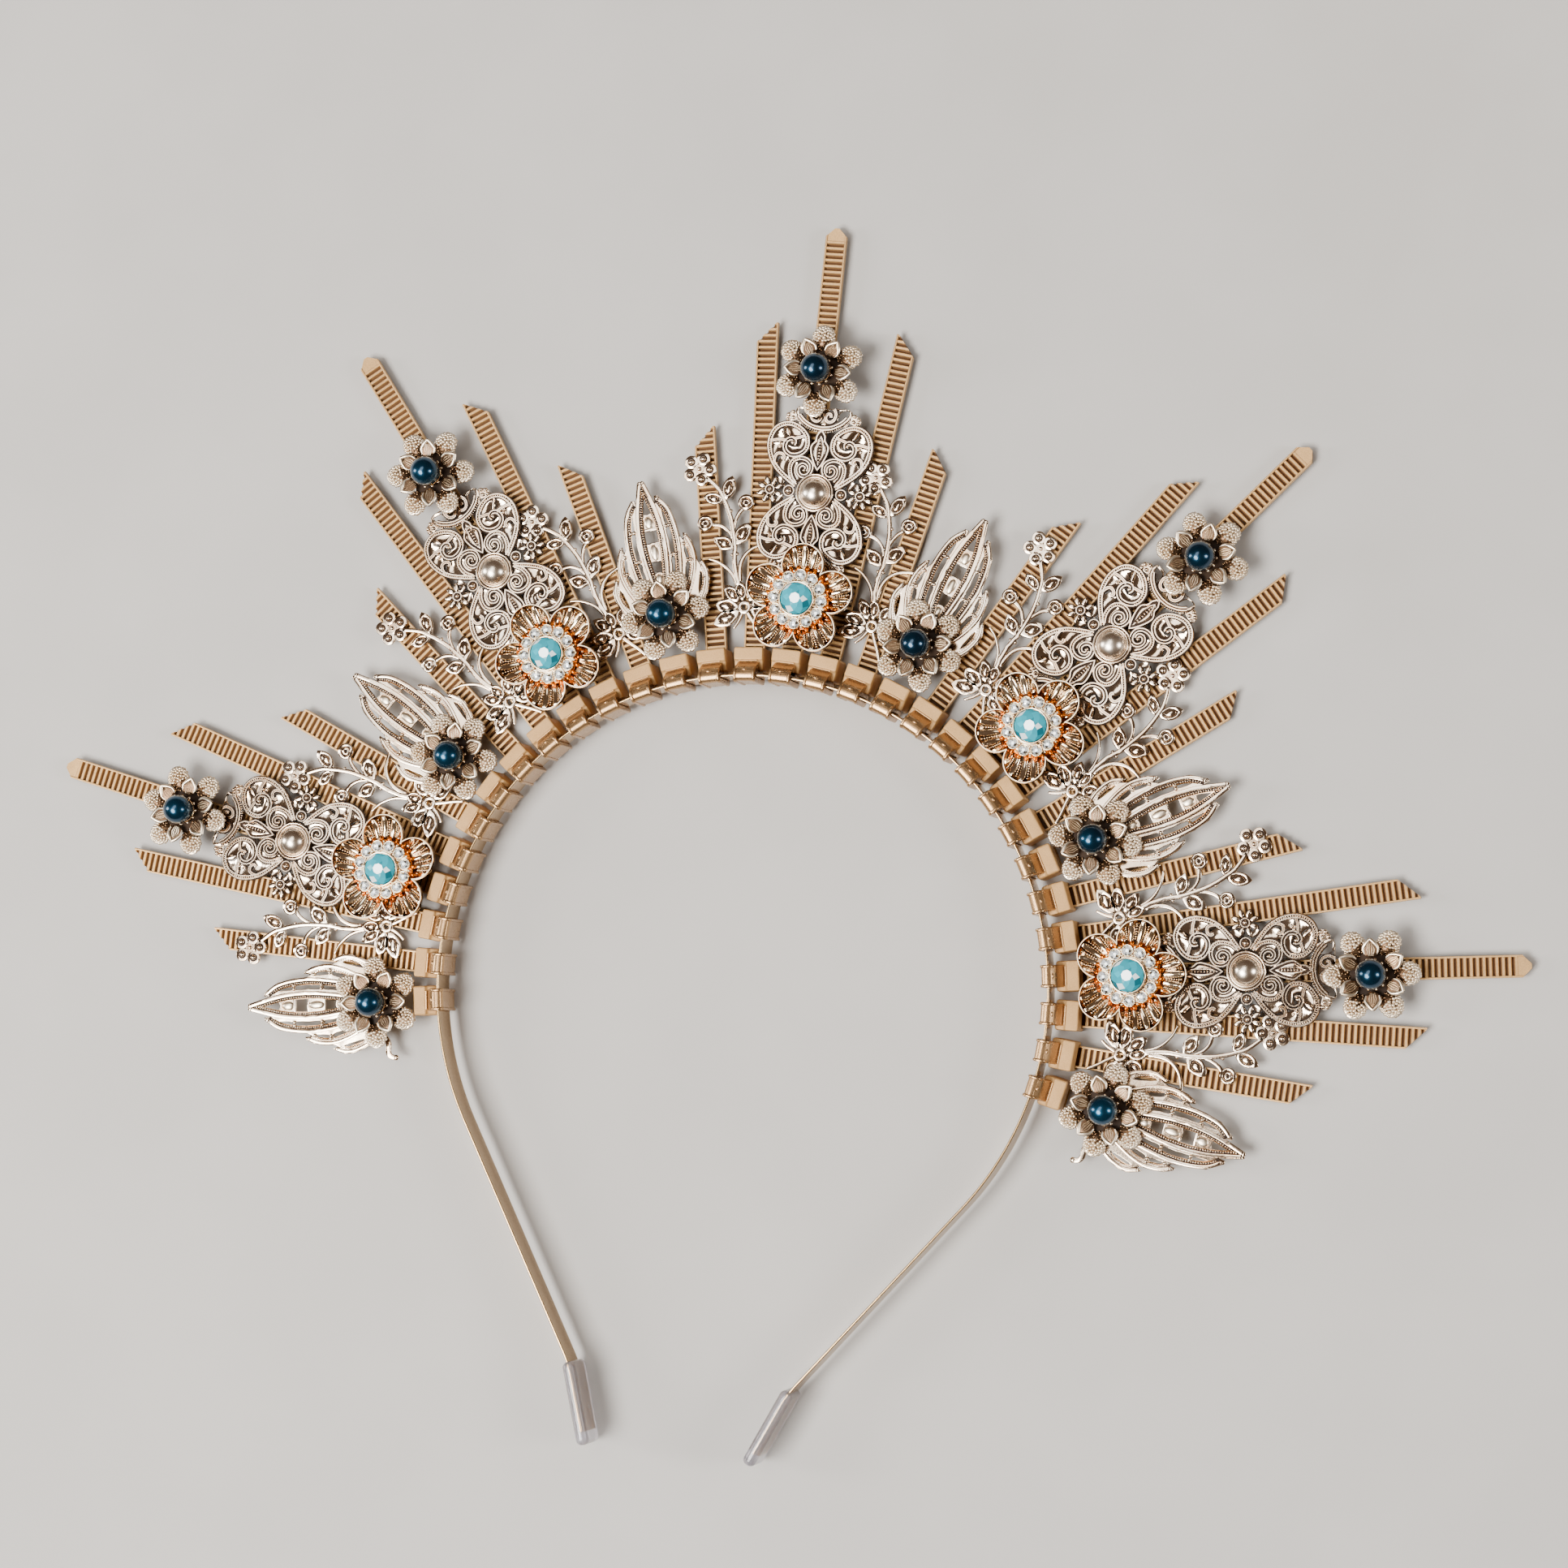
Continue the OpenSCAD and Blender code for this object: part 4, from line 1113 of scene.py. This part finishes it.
    def build(self, stalk: int = 0) -> Mesh:
        """Makes the leaf's local mesh.

        Args:
            stalk: 1 or -1 adds a small curled stalk on the right or the left of the foot.

        Returns:
            The mesh.
        """
        tray = Tray(PALE_GOLD)
        if stalk:
            curl = [(stalk * x, y) for x, y in self.stalk]
            tray.ribbon(smooth(curl, 4), 1.25, 0.05, 0.65, 0.14, 1.0)
            tray.ball((*curl[-1], 0.4), 0.62, 2, (1, 1, 0.6))
        sides = repeated(self._side, quarter_turns(mirrored_y=False))
        holes = [*self.centre_voids] + [[(s * x, y) for x, y in smooth(hole, 2, closed=True)]
                                        for s in (1, -1) for hole in self.voids]
        tray.plate(both_sides(self.edge), 0.0, self.plate_t, holes, soft=0.14)
        top = self.plate_t
        for y, wide, long, arc_r in self.ovals:
            # A dark flattened sheet under each oval: painted shade round it.
            tray.of(GROOVE_PAINTED_SHADE).ball((0, y, top - 0.05), 1.0, 2, (wide * 1.42, long * 1.36, 0.12))
            tray.of(GRAIN_GOLD).ball((0, y, top), 1.0, 3, (wide * 1.25, long * 1.2, 0.45))
            tray.of(PALE_GOLD).wires([arc((0, y + long - arc_r + 0.35), arc_r, 20, 160, 10)], top + 0.1, 0.15)
        for y, half, width in self.bars:
            tray.ribbon([(-half, y), (half, y)], width, 0.2, top + 0.1)
        tray.parts += sides
        return tray.model("leaf")


# Sprays

@dataclass
class Spray:
    """A thin spray in its own frame: hub ring at the origin, Y outward, back face on Z = 0.

    Args:
        shoots: each side shoot's points, its width and the width of its end.
        leaves: each leaf's foot, tip and width.
    """
    thick: float = 0.8
    height: float = 2.65
    stem: Points = (
        (-1.0, 4.6), (-1.6, 7.4), (-1.75, 10.0), (-1.6, 12.8), (-1.8, 15.4), (-2.2, 18.2), (-2.9, 20.6), (-3.6, 22.4),
        (-4.3, 24.0), (-5.5, 25.5), (-7.2, 27.2))
    shoots: tuple[tuple[Points, float, float], ...] = (
        (((-1.3, 4.4), (-2.1, 6.4), (-3.2, 8.0), (-5.2, 9.6), (-7.3, 10.4)), 0.75, 0.45),
        (((-0.8, 5.4), (-0.7, 8.2), (0.1, 10.2), (1.7, 11.7), (3.8, 12.5), (5.9, 12.7)), 0.85, 0.6),
        (((-6.4, 17.4), (-4.6, 17.1), (-3.0, 15.9), (-2.0, 14.2)), 0.8, 0.6),
        (((0.4, 20.2), (-0.6, 19.2), (-1.4, 17.6), (-1.8, 15.8)), 0.8, 0.6),
        (((0.4, -0.9), (1.4, -2.6), (2.6, -4.4), (3.6, -6.3)), 0.75, 0.6),
        (((-0.5, -1.0), (-1.2, -2.6), (-2.4, -4.2)), 0.7, 0.5))
    leaves: tuple[tuple[Point, Point, float], ...] = (
        ((-3.5, 22.0), (-7.9, 23.3), 1.9),
        ((-3.3, 22.1), (-1.6, 27.1), 2.1),
        ((-1.8, 12.2), (-5.9, 14.6), 2.2),
        ((-1.5, 12.9), (1.8, 17.2), 2.4),
        ((-0.1, 1.2), (-1.1, 5.6), 1.8),
        ((-0.9, 1.0), (-4.0, 4.8), 2.0),
        ((1.0, 1.0), (3.2, 5.2), 2.2),
        ((-1.1, 0.1), (-6.2, 0.8), 2.4),
        ((-1.1, -0.7), (-6.5, -3.2), 2.6),
        ((1.1, 0.1), (5.8, 1.7), 2.3),
        ((1.1, -0.5), (5.6, -2.2), 2.3))
    berries: Points = ((-7.6, 17.7), (1.1, 21.4))
    knobs: Points = ((-2.15, 19.9), (-2.4, 15.6), (-1.15, 11.0), (-2.25, 10.9))
    flower: Point = (-8.5, 28.9)
    petal_out: float = 2.2

    def build(self) -> Mesh:
        """Makes the spray's local mesh."""
        tray = Tray(PALE_GOLD)
        high = self.thick
        tray.ribbon(smooth(self.stem, 4), 1.0, 0.0, high, 0.16, 0.85)
        for points, width, end in self.shoots:
            tray.ribbon(smooth(points, 4), width * 1.1, 0.0, high - 0.1, 0.15, end)
        for foot, tip, width in self.leaves:
            outline = blade(foot, tip, width * 1.32, 8, 0.7)
            tray.of(PALE_GOLD).plate(outline, 0.0, high - 0.04, [shrunk(outline, 0.57)], soft=0.1)
            tray.plate(shrunk(outline, 0.45), 0.1, high - 0.1, soft=0.08)
            # Dark sheet inside each leaf's outline: painted shade in the gap.
            tray.of(GROOVE_PAINTED_SHADE).plate(shrunk(outline, 0.7), 0.1, 0.4, soft=0)
        tray.of(PALE_GOLD).disc((0, 0), 0.0, high + 0.05, 1.45, 0.2, 0.55)
        tray.hoop((0, 0, high - 0.05), 1.0, 0.16, 20)
        for berry in self.berries:
            tray.of(PALE_GOLD).disc(berry, 0.0, high + 0.03, 1.68, 0.1, 1.0)
            tray.disc(berry, 0.0, high - 0.1, 0.84, 0.1, 0.32)
            # Dark disc under each berry: painted shade inside its ring.
            tray.of(GROOVE_PAINTED_SHADE).disc(berry, 0.0, 0.35, 1.1, 0.05)
        for i in range(5):
            petal = tuple(Vector(self.flower) + Vector(polar(self.petal_out, 72 * i + 65)))
            level = high - 0.03 * (i % 3)
            tray.of(PALE_GOLD).disc(petal, 0.0, level, 1.4, 0.12, around=20)
            # Dark ring round each petal's bead: painted shade.
            tray.of(GROOVE_PAINTED_SHADE).disc(petal, level - 0.1, level + 0.02, 0.86, 0, around=16)
            tray.of(PALE_GOLD).ball((*petal, level - 0.1), 0.66, 2)
        tray.disc(self.flower, 0.0, high - 0.12, 1.5, 0.12)
        tray.hoop((*self.flower, high - 0.1), 0.8, 0.16, 16)
        tray.ball((*self.flower, high - 0.1), 0.5, 2)
        for knob in self.knobs:
            tray.ball((*knob, high / 2), 0.38, 2)
        return tray.model("spray")


# Cut stones

@dataclass
class CutStone:
    """A cut stone in its own frame: girdle on Z = 0, table up.

    Args:
        radius: the girdle's radius.
        crown: height of the table.
        depth: depth of the pavilion.
        sides: main facets of the crown.
        painted_facet_lights: painted light and shade for each facet, from 0 to 1, as glints, highlights and dark
            reflections.
    """
    radius: float
    crown: float
    depth: float
    sides: int
    painted_facet_lights: tuple[float, ...]

    def build(self, tray: Tray) -> Piece:
        """Makes the stone on a tray and gives each facet its painted light; the flat table is painted brightest and
        mirrors the lamps.
        """
        half = 180 / self.sides
        rings = Tray(tray.finish)
        for count, wide, z, turn in ((self.sides, 0.34, self.crown + 0.03 * self.radius, 0.0),
                                     (self.sides, 0.56, self.crown * 0.88, half),
                                     (self.sides, 0.8, self.crown * 0.55, 0.0), (2 * self.sides, 1.0, 0.0, half),
                                     (2 * self.sides, 1.0, -0.04 * self.radius, half),
                                     (self.sides, 0.3, -self.depth, 0.0)):
            rings.solid(bpy.ops.mesh.primitive_circle_add, moved(0, 0, z) @ turned(turn),
                        vertices=count, radius=self.radius * wide)
        stone = rings.weld("stone")
        with editing(stone):
            bpy.ops.mesh.convex_hull()
        tone = stone.data.attributes.new("tone", "FLOAT", "FACE")
        for i, face in enumerate(stone.data.polygons):
            turn = math.atan2(face.center.y, face.center.x) / math.tau % 1.0
            ring = int(Vector(face.center[:2]).length / self.radius * 6)
            # The flat table gets the brightest painted light; the other facets take theirs from the list.
            tone.data[i].value = (0.99 if face.normal.z > 0.99
                                  else self.painted_facet_lights[(int(turn * 16 + 0.5) + 5 * ring) % len(self.painted_facet_lights)])
        return tray.keep(stone)


# Stone flowers

@dataclass
class StoneFlower:
    """Five cupped, ribbed petals under a set cluster, in its own frame: centre at the origin, base on Z = 0.

    Args:
        rim: height of the petals' rim.
        rib_step: degrees between two ribs.
        cluster_z: height of the setting's foot.
        claws: how far out and up the small beads between the cups lie.
    """
    height: float = 5.0
    half_turn: float = 36.0
    petal_r: float = 4.4
    petal_out: float = 7.0
    petal_z: float = 4.3
    rim: float = 4.9
    rib_step: float = 6.6
    rib_start: float = 6.8
    dish: float = 0.5
    cluster_z: float = 4.0
    blue_r: float = 3.2
    skirt_r: float = 6.2
    cup_out: float = 4.9
    cup_r: float = 1.21
    claws: Rows = ((4.05, 1.35), (5.75, 0.75))

    def _shell(self, tray: Tray, radius: float, middle: float, squash: float, wall: float) -> None:
        """The lower part of a ball as a thin shell, cut to one petal's fifth of the circle.

        Args:
            tray: where the shell goes.
            radius: the ball's radius.
            middle: height of the ball's centre.
            squash: the ball's height, relative to its width.
            wall: thickness, to the inside if it's positive.
        """
        shell = tray.solid(bpy.ops.mesh.primitive_uv_sphere_add,
                           moved(0, self.petal_out, middle) @ sized(1, 1, squash),
                           segments=32, ring_count=16, radius=radius)
        cut_away(shell, (0, 0, min(middle, self.rim)), (0, 0, 1), close=False)
        cut_away(shell, (0, 0, 0), (0, 0, -1), close=False)
        across, along = polar(1.0, self.half_turn)
        for side in (1, -1):
            cut_away(shell, (0, 0, 0), (side * across, -along, 0), close=False)
        apply(shell, "SOLIDIFY", thickness=abs(wall), offset=-1.0 if wall > 0 else 1.0)

    def _petal(self, tray: Tray) -> None:
        """One petal: a thin bowl with a shallower dish inside, both in gold darkened with painted shade, its bright
        rim, and its ribs.
        """
        self._shell(tray.of(PETAL_PAINTED_SHADE), self.petal_r, self.petal_z, 1.0, 0.3)
        self._shell(tray, self.petal_r - 0.2, self.rim - 0.15, self.dish, -0.2)
        reach = math.sqrt(self.petal_r ** 2 - (self.rim - self.petal_z) ** 2)
        rim = [(x, y, self.rim) for x, y in arc((0, self.petal_out), reach - 0.14, -35, 215, 40)
               if abs(math.atan2(x, y)) < math.radians(self.half_turn)]
        tray.of(FLOWER_GOLD).wires([rim], self.rim, 0.14)
        for j in range(-4, 5):
            along, across = polar(self.petal_out, self.rib_step * j)
            start, end = self.rib_start, along + math.sqrt(reach ** 2 - across ** 2) - 0.45
            line = []
            for k in range(9):
                y, x = polar(start + (end - start) * k / 8, self.rib_step * j)
                line.append((x, y, self.rim - 1.6 + 1.2 * (k / 8) ** 3))
            if j % 2 == 0:
                tray.wires([line], 3.6, 0.62, 8, flat=0.45, taper=(0.7, 0.9, 1.1, 1.15, 0.6))
            else:
                tray.balls([(x, y, z + 0.1) for x, y, z in line[1:8]], 0.2, 1)

    def _cluster(self, tray: Tray) -> None:
        """The setting: a skirt and foot in painted orange reflection, bezel and twelve cups."""
        base = self.cluster_z
        tray.of(SKIRT_PAINTED_REFLECTION).disc((0, 0), 0.0, base, 3.4, around=32)
        tray.disc((0, 0), base - 0.6, base - 0.05, self.skirt_r, around=48)
        for i in range(24):
            a = 15 * i + 7.5
            tray.ball((*polar(self.skirt_r + 0.1, a), base - 0.2), 0.56, 2, (1.3, 0.85, 0.8), a)
        tray.of(FLOWER_GOLD).disc((0, 0), base, base + 0.5, 5.5, around=48)
        tray.disc((0, 0), base, base + 2.3, self.blue_r + 0.42, 0.12, self.blue_r + 0.06, 48)
        for i in range(12):
            cup = polar(self.cup_out, 30 * i)
            tray.disc(cup, base - 0.1, base + 1.25, self.cup_r, 0.05, 1.0, 20)
            for out, up in self.claws:
                tray.ball((*polar(out, 30 * i + 15), base + up), 0.3, 2)

    def build(self) -> Mesh:
        """Makes the flower's metal as one local mesh."""
        petals = repeated(self._petal, spins(5))
        tray = Tray(FLOWER_GOLD)
        self._cluster(tray)
        # The cone under the petals is in the darkened gold: painted shade.
        tray.of(PETAL_PAINTED_SHADE).solid(bpy.ops.mesh.primitive_cone_add, moved(0, 0, 1.6), vertices=48,
                                  radius1=6.9, radius2=4.8, depth=3.0)
        tray.parts += petals
        return tray.model("stone_flower")


# Pearl flowers

@dataclass
class PearlFlower:
    """Six granulated and six plain petals round a pearl, in its own frame: base on Z = 0.

    Args:
        grain_out: how far out a granulated petal's middle lies.
        grain_size: that petal's half width, half length and height.
        grains: grains on a petal, before the sparse inner ones are left out.
    """
    height: float = 5.0
    pearl_z: float = 5.1
    pearl_r: float = 3.0
    grain_out: float = 6.75
    grain_size: tuple[float, float, float] = (2.15, 2.45, 1.1)
    grain_z: float = 1.0
    grains: int = 72
    plain_out: float = 4.7

    def _granulated(self, tray: Tray) -> None:
        """A domed petal full of grains, which are larger on its outer part, along +Y; the cushion between them and the
        inner grains near the pearl are painted dark as shade.
        """
        where = moved(0, self.grain_out, self.grain_z) @ sized(*self.grain_size)
        cushion = tray.of(CUP_PAINTED_SHADE).solid(bpy.ops.mesh.primitive_uv_sphere_add, where, segments=24, ring_count=12,
                                          radius=1.0)
        cut_away(cushion, (0, 0, 0.02), (0, 0, -1))
        grains: dict[bool, list[Vector]] = {True: [], False: []}
        for i in range(self.grains):
            up = 1 - 0.98 * (i + 0.5) / self.grains
            spot = Vector((*polar(math.sqrt(1 - up * up), i * GOLDEN_TURN), up))
            if spot.y > -0.3 or i % 3:
                grains[spot.y > -0.3].append(where @ spot)
        tray.of(GRAIN_GOLD).balls(grains[True], 0.4, 1)
        # Inner grains in painted shade.
        tray.of(PETAL_PAINTED_SHADE).balls(grains[False], 0.3, 1)
        tip = tray.of(GRAIN_GOLD).wires([arc((0, 0), 0.86, -10, 190, 16)], 0.5, 0.17, 6, flat=0.5,
                                        taper=(0.2, 1, 1.3, 1, 0.2))
        tip.data.transform(where)

    def _plain(self, tray: Tray) -> None:
        """A pointed, cupped petal that rises round the pearl, along +Y, with a bright edge and fine veins; its hollow
        is painted dark as shade.
        """
        lean = (moved(0, self.plain_out, 2.6) @ Matrix.Rotation(math.radians(8), 4, "X"))
        outline = smooth(((0.0, 2.3), (0.85, 1.35), (1.45, 0.3), (1.2, -0.9), (0.0, -1.5), (-1.2, -0.9), (-1.45, 0.3),
                          (-0.85, 1.35)), 3, closed=True)
        # Dark plate: painted shade inside the cup.
        tray.of(CUP_PAINTED_SHADE).plate(outline, -0.2, 0.1, soft=0.1)
        tray.of(GRAIN_GOLD)
        for side in (-1, 1):
            edge = smooth(((side * 1.25, -0.7), (side * 1.42, 0.3), (side * 0.85, 1.3), (0.0, 2.15)), 4)
            tray.wires([edge], 0.1, 0.34, 8, flat=0.7, taper=(0.3, 0.8, 1.2, 1.0))
        for x in (-0.7, -0.25, 0.25, 0.7):
            tray.wires([[(x * 0.6, -1.1), (x, 0.1), (x * 0.5, 1.3)]], 0.12, 0.1, 4, taper=(0.5, 1, 0.4))
        for part in tray.parts:
            part.data.transform(lean)

    def build(self) -> Mesh:
        """Makes the flower's metal as one local mesh."""
        petals = repeated(self._granulated, spins(6)) + repeated(self._plain, spins(6, 30))
        # Dark discs round the pearl: painted shade under the petals.
        tray = Tray(GROOVE_PAINTED_SHADE)
        tray.disc((0, 0), 0.0, 1.1, 4.6, around=32)
        tray.disc((0, 0), 1.0, 2.7, 2.6, around=32)
        tray.of(FLOWER_GOLD).hoop((0, 0, 2.6), 2.45, 0.22, 32)
        for i in range(12):
            tray.ball((*polar(2.95, 30 * i + 15), 2.7), 0.3, 2)
        tray.parts += petals
        return tray.model("pearl_flower")


# Headband and sleeves

@dataclass
class Headband:
    """The strip's arc, legs and bent ends, and the sleeves on them."""
    arc_r: float = 62.8
    left_lean: float = 32.8
    right_lean: float = 35.5
    left_l: float = 54.0
    right_l: float = 51.0
    end_bend: float = 13.4
    end_l: float = 13.4
    knee_r: float = 2.5
    thick: float = 0.5
    low: float = 2.6
    wide: float = 7.0
    sleeve_l: float = 16.0

    def _leg(self, lean: float, length: float) -> tuple[Path, float]:
        """The leg's corner points on the right side, and the way that its end points."""
        a, b = math.radians(lean), math.radians(lean - self.end_bend)
        start = (self.arc_r * math.cos(a), -self.arc_r * math.sin(a))
        knee = (start[0] - length * math.sin(a), start[1] - length * math.cos(a))
        end = (knee[0] - self.end_l * math.sin(b), knee[1] - self.end_l * math.cos(b))
        return [start, knee, end], b

    def _bent(self, points: Path) -> Path:
        """The leg with a round bend at its knee."""
        return [points[0], *bend(*points, self.knee_r, (0, 0.17, 0.34, 0.5, 0.66, 0.83, 1)), points[2]]

    def build(self) -> None:
        """Makes the strip and its two sleeves."""
        right, right_way = self._leg(self.right_lean, self.right_l)
        left, left_way = self._leg(self.left_lean, self.left_l)
        bow = arc((0, 0), self.arc_r, -self.right_lean, 180 + self.left_lean, 160)
        path = list(reversed(self._bent(right)))[:-1] + bow + [(-x, y) for x, y in self._bent(left)[1:]]
        tray = Tray(BAND_GOLD)
        tray.ribbon(path, self.thick, self.low, self.low + self.wide, soft=0.16)
        place(tray.model("strip"), "gold_band", [PLAN.spot(0)], "band_metal", "headband")
        for name, end, way, side in (("end_sleeve_right", right[2], right_way, 1),
                                     ("end_sleeve_left", left[2], left_way, -1)):
            self._sleeve(name, end, way, side)

    def _sleeve(self, node: str, end: Point, way: float, side: int) -> None:
        """A soft clear sleeve with a rounded closed end."""
        tray = Tray(SLEEVE)
        body = tray.solid(bpy.ops.mesh.primitive_cube_add, moved(0, self.sleeve_l / 2 - 2.2, 0)
                          @ sized(2.7, self.sleeve_l + 0.8, 9.0), size=1)
        apply(body, "BEVEL", width=1.15, segments=5)
        body.data.transform(sized(side, 1, 1) @ moved(*end, self.low + self.wide / 2)
                            @ Matrix.Rotation(-way, 4, "Z"))
        if side < 0:
            body.data.flip_normals()
        place(tray.model(), node.replace("end_", "soft_"), [PLAN.spot(0)], "clear_sleeve", node)


# The whole crown

@dataclass
class Crown:
    """All the ornaments in their places."""
    panel: Panel = field(default_factory=Panel)
    leaf: Leaf = field(default_factory=Leaf)
    spray: Spray = field(default_factory=Spray)
    stone_flower: StoneFlower = field(default_factory=StoneFlower)
    pearl_flower: PearlFlower = field(default_factory=PearlFlower)

    def _stones(self) -> None:
        """The blue stones and the clear ones round them."""
        flower = self.stone_flower
        blue = Tray(AQUA)
        # The lists give each facet's painted light: painted glints, highlights and dark reflections.
        CutStone(flower.blue_r, 1.15, 1.6, 8, (0.52, 0.32, 0.62, 0.40, 0.83, 0.22, 0.55, 0.35, 0.70, 0.26, 0.50,
                                               0.44, 0.98, 0.30, 0.58, 0.48, 0.12, 0.66, 0.38)).build(blue)
        blue_model = blue.model("blue")
        clear = Tray(CLEAR)
        CutStone(0.99, 0.5, 0.3, 6, (0.95, 0.6, 1.0, 0.1, 1.0, 0.85, 0.3, 0.95, 0.7, 1.0, 0.0)).build(clear)
        clear.parts[0].data.transform(turned(10))
        clear.repeat([turned(-30 * i) @ moved(0, flower.cup_out, 0) @ turned(53 * i)
                      for i in range(12)])
        clear_model = clear.model("clear")
        clear_spots = []
        for k in range(1, 6):
            side = PLAN.sway[k - 1][0]
            high = flower.height + flower.cluster_z
            place(blue_model, f"aqua_stone_{k}", [PLAN.spot(PLAN.ray_angle(k), PLAN.stone_r, high + 2.3, side,
                                                            turn=PLAN.ray_angle(k))],
                  "aqua_stone", f"blue_stone_{k}", sharp=5)
            clear_spots.append(PLAN.spot(PLAN.ray_angle(k), PLAN.stone_r, high + 1.0, side))
        place(clear_model, "small_stones", clear_spots, "clear_stone", "clear_stones", sharp=5)

    def _pearls(self) -> None:
        """The pearl flowers at the panels' tips and on the leaves."""
        flower = self.pearl_flower
        metal = flower.build()
        tray = Tray(PEARL)
        tray.solid(bpy.ops.mesh.primitive_uv_sphere_add, sized(1, 1, 1), segments=48, ring_count=24,
                   radius=flower.pearl_r)
        pearl = tray.model("pearl")
        spots = [(PLAN.ray_angle(k), PLAN.tip_pearl_r, PLAN.sway[k - 1][2], 0.0) for k in range(1, 6)]
        spots += [(PLAN.leaf_angle(k), PLAN.leaf_pearl_r, 0.0, 30.0) for k in range(1, 7)]
        for k, (angle, radius, side, turn) in enumerate(spots, 1):
            place(metal, f"petals_{k}", [PLAN.spot(angle, radius, flower.height, side, turn)], "flower_gold",
                  f"pearl_flower_{k}")
            place(pearl, f"dark_pearl_{k}", [PLAN.spot(angle, radius, flower.height + flower.pearl_z, side)],
                  "dark_pearl", f"pearl_{k}", sharp=60)

    def build(self) -> None:
        """Makes every ornament."""
        panel = self.panel.build()
        leaves = [self.leaf.build(stalk) for stalk in (-1, 0, 0, 0, 0, 1)]
        spray = self.spray.build()
        metal = self.stone_flower.build()
        for k in range(1, 6):
            stone, middle, pearl, _ = PLAN.sway[k - 1]
            angle = PLAN.ray_angle(k)
            place(panel, f"panel_{k}", [PLAN.spot(angle, PLAN.dome_r, self.panel.height, middle,
                                                  -(pearl - middle) * 0.6)], "pale_gold", f"filigree_{k}")
            place(spray, f"sprays_{k}", [PLAN.spot(angle + s * PLAN.ray_step / 4, PLAN.spray_r, self.spray.height,
                                                   PLAN.spray_side) for s in (-1, 1)], "pale_gold",
                  f"spray_pair_{k}")
            place(metal, f"cupped_flower_{k}", [PLAN.spot(angle, PLAN.stone_r, self.stone_flower.height, stone)],
                  "flower_gold", f"stone_flower_{k}")
        for k, leaf in enumerate(leaves, 1):
            place(leaf, f"pierced_leaf_{k}", [PLAN.spot(PLAN.leaf_angle(k), PLAN.leaf_pearl_r, self.leaf.height)],
                  "pale_gold", f"leaf_{k}")
        self._stones()
        self._pearls()


# Studio

@dataclass(frozen=True)
class Lamp:
    """A soft oval lamp that looks at the crown."""
    name: str
    place: tuple[float, float, float]
    size: tuple[float, float]
    power: float
    colour: tuple[float, float, float] = (1.0, 0.97, 0.93)

    def build(self) -> None:
        """Hangs the lamp."""
        data = bpy.data.lights.new(self.name, "AREA")
        data.shape = "ELLIPSE"
        data.size, data.size_y = self.size
        data.energy = self.power
        data.color = self.colour
        lamp = bpy.data.objects.new(self.name, data)
        bpy.context.collection.objects.link(lamp)
        lamp.location = self.place
        lamp.rotation_euler = Vector(self.place).to_track_quat("Z", "Y").to_euler()


@dataclass(frozen=True)
class Studio:
    """Floor, light and camera. The camera stands to the crown as the photograph's did.

    Args:
        yaw: turn of the crown about its upright axis, seen from the camera, in degrees.
        pitch: turn about the crown's cross axis.
        roll: turn in the picture.
        shift_mm: where the arc's centre lies in the camera's frame, across and up.
        distance_mm: distance to the arc's centre.
        lens_px: focal length in pixels of the photograph.
        photo_px: width of the photograph.
    """
    yaw: float = -13.5
    pitch: float = -4.197
    roll: float = -7.154
    shift_mm: tuple[float, float] = (-7.216, -41.423)
    distance_mm: float = 754.06
    lens_px: float = 4600.0
    photo_px: float = 1932.0

    def camera(self) -> None:
        """Sets up the camera."""
        turn = (Matrix.Rotation(math.radians(self.yaw), 3, "Y") @ Matrix.Rotation(math.radians(self.pitch), 3, "X")
                @ Matrix.Rotation(math.radians(self.roll), 3, "Z"))
        back = turn.transposed()
        eye = back @ -Vector((*self.shift_mm, -self.distance_mm)) - Vector((0, PLAN.middle_y, 0))
        data = bpy.data.cameras.new("photo_camera")
        data.sensor_width = 36.0
        data.lens = 36.0 * self.lens_px / self.photo_px
        data.clip_end = 20.0
        camera = bpy.data.objects.new("photo_camera", data)
        bpy.context.collection.objects.link(camera)
        place_at = back.to_4x4()
        place_at.translation = eye * MM
        camera.matrix_world = place_at
        bpy.context.scene.camera = camera

    def build(self) -> None:
        """Makes the floor, the world and the lamps."""
        self.camera()
        deselect()
        bpy.ops.mesh.primitive_plane_add(size=6.0)
        floor = bpy.context.object
        floor.name = "floor"
        floor.data.materials.append(FLOOR.material())
        world = bpy.data.worlds.new("studio")
        world.use_nodes = True
        world.node_tree.nodes["Background"].inputs["Color"].default_value = (0.30, 0.20, 0.14, 1)
        world.node_tree.nodes["Background"].inputs["Strength"].default_value = 0.35
        bpy.context.scene.world = world
        for lamp in (Lamp("key", (-0.38, -0.45, 1.18), (0.75, 0.6), 31.0),
                     Lamp("upper_card", (-0.27, 0.13, 1.22), (1.0, 0.5), 6.0),
                     Lamp("left_lamp", (-1.1, -0.1, 0.5), (0.3, 0.5), 7.0),
                     Lamp("right_lamp", (1.02, 0.05, 0.6), (0.3, 0.4), 6.0)):
            lamp.build()


def main() -> None:
    """Builds the crown and the studio."""
    logging.basicConfig(level=logging.INFO, format="%(message)s")
    Studio().build()
    Rays().build()
    Headband().build()
    Crown().build()
    for mesh in [m for m in bpy.data.meshes if not m.users]:
        bpy.data.meshes.remove(mesh)


if __name__ == "__main__":
    main()
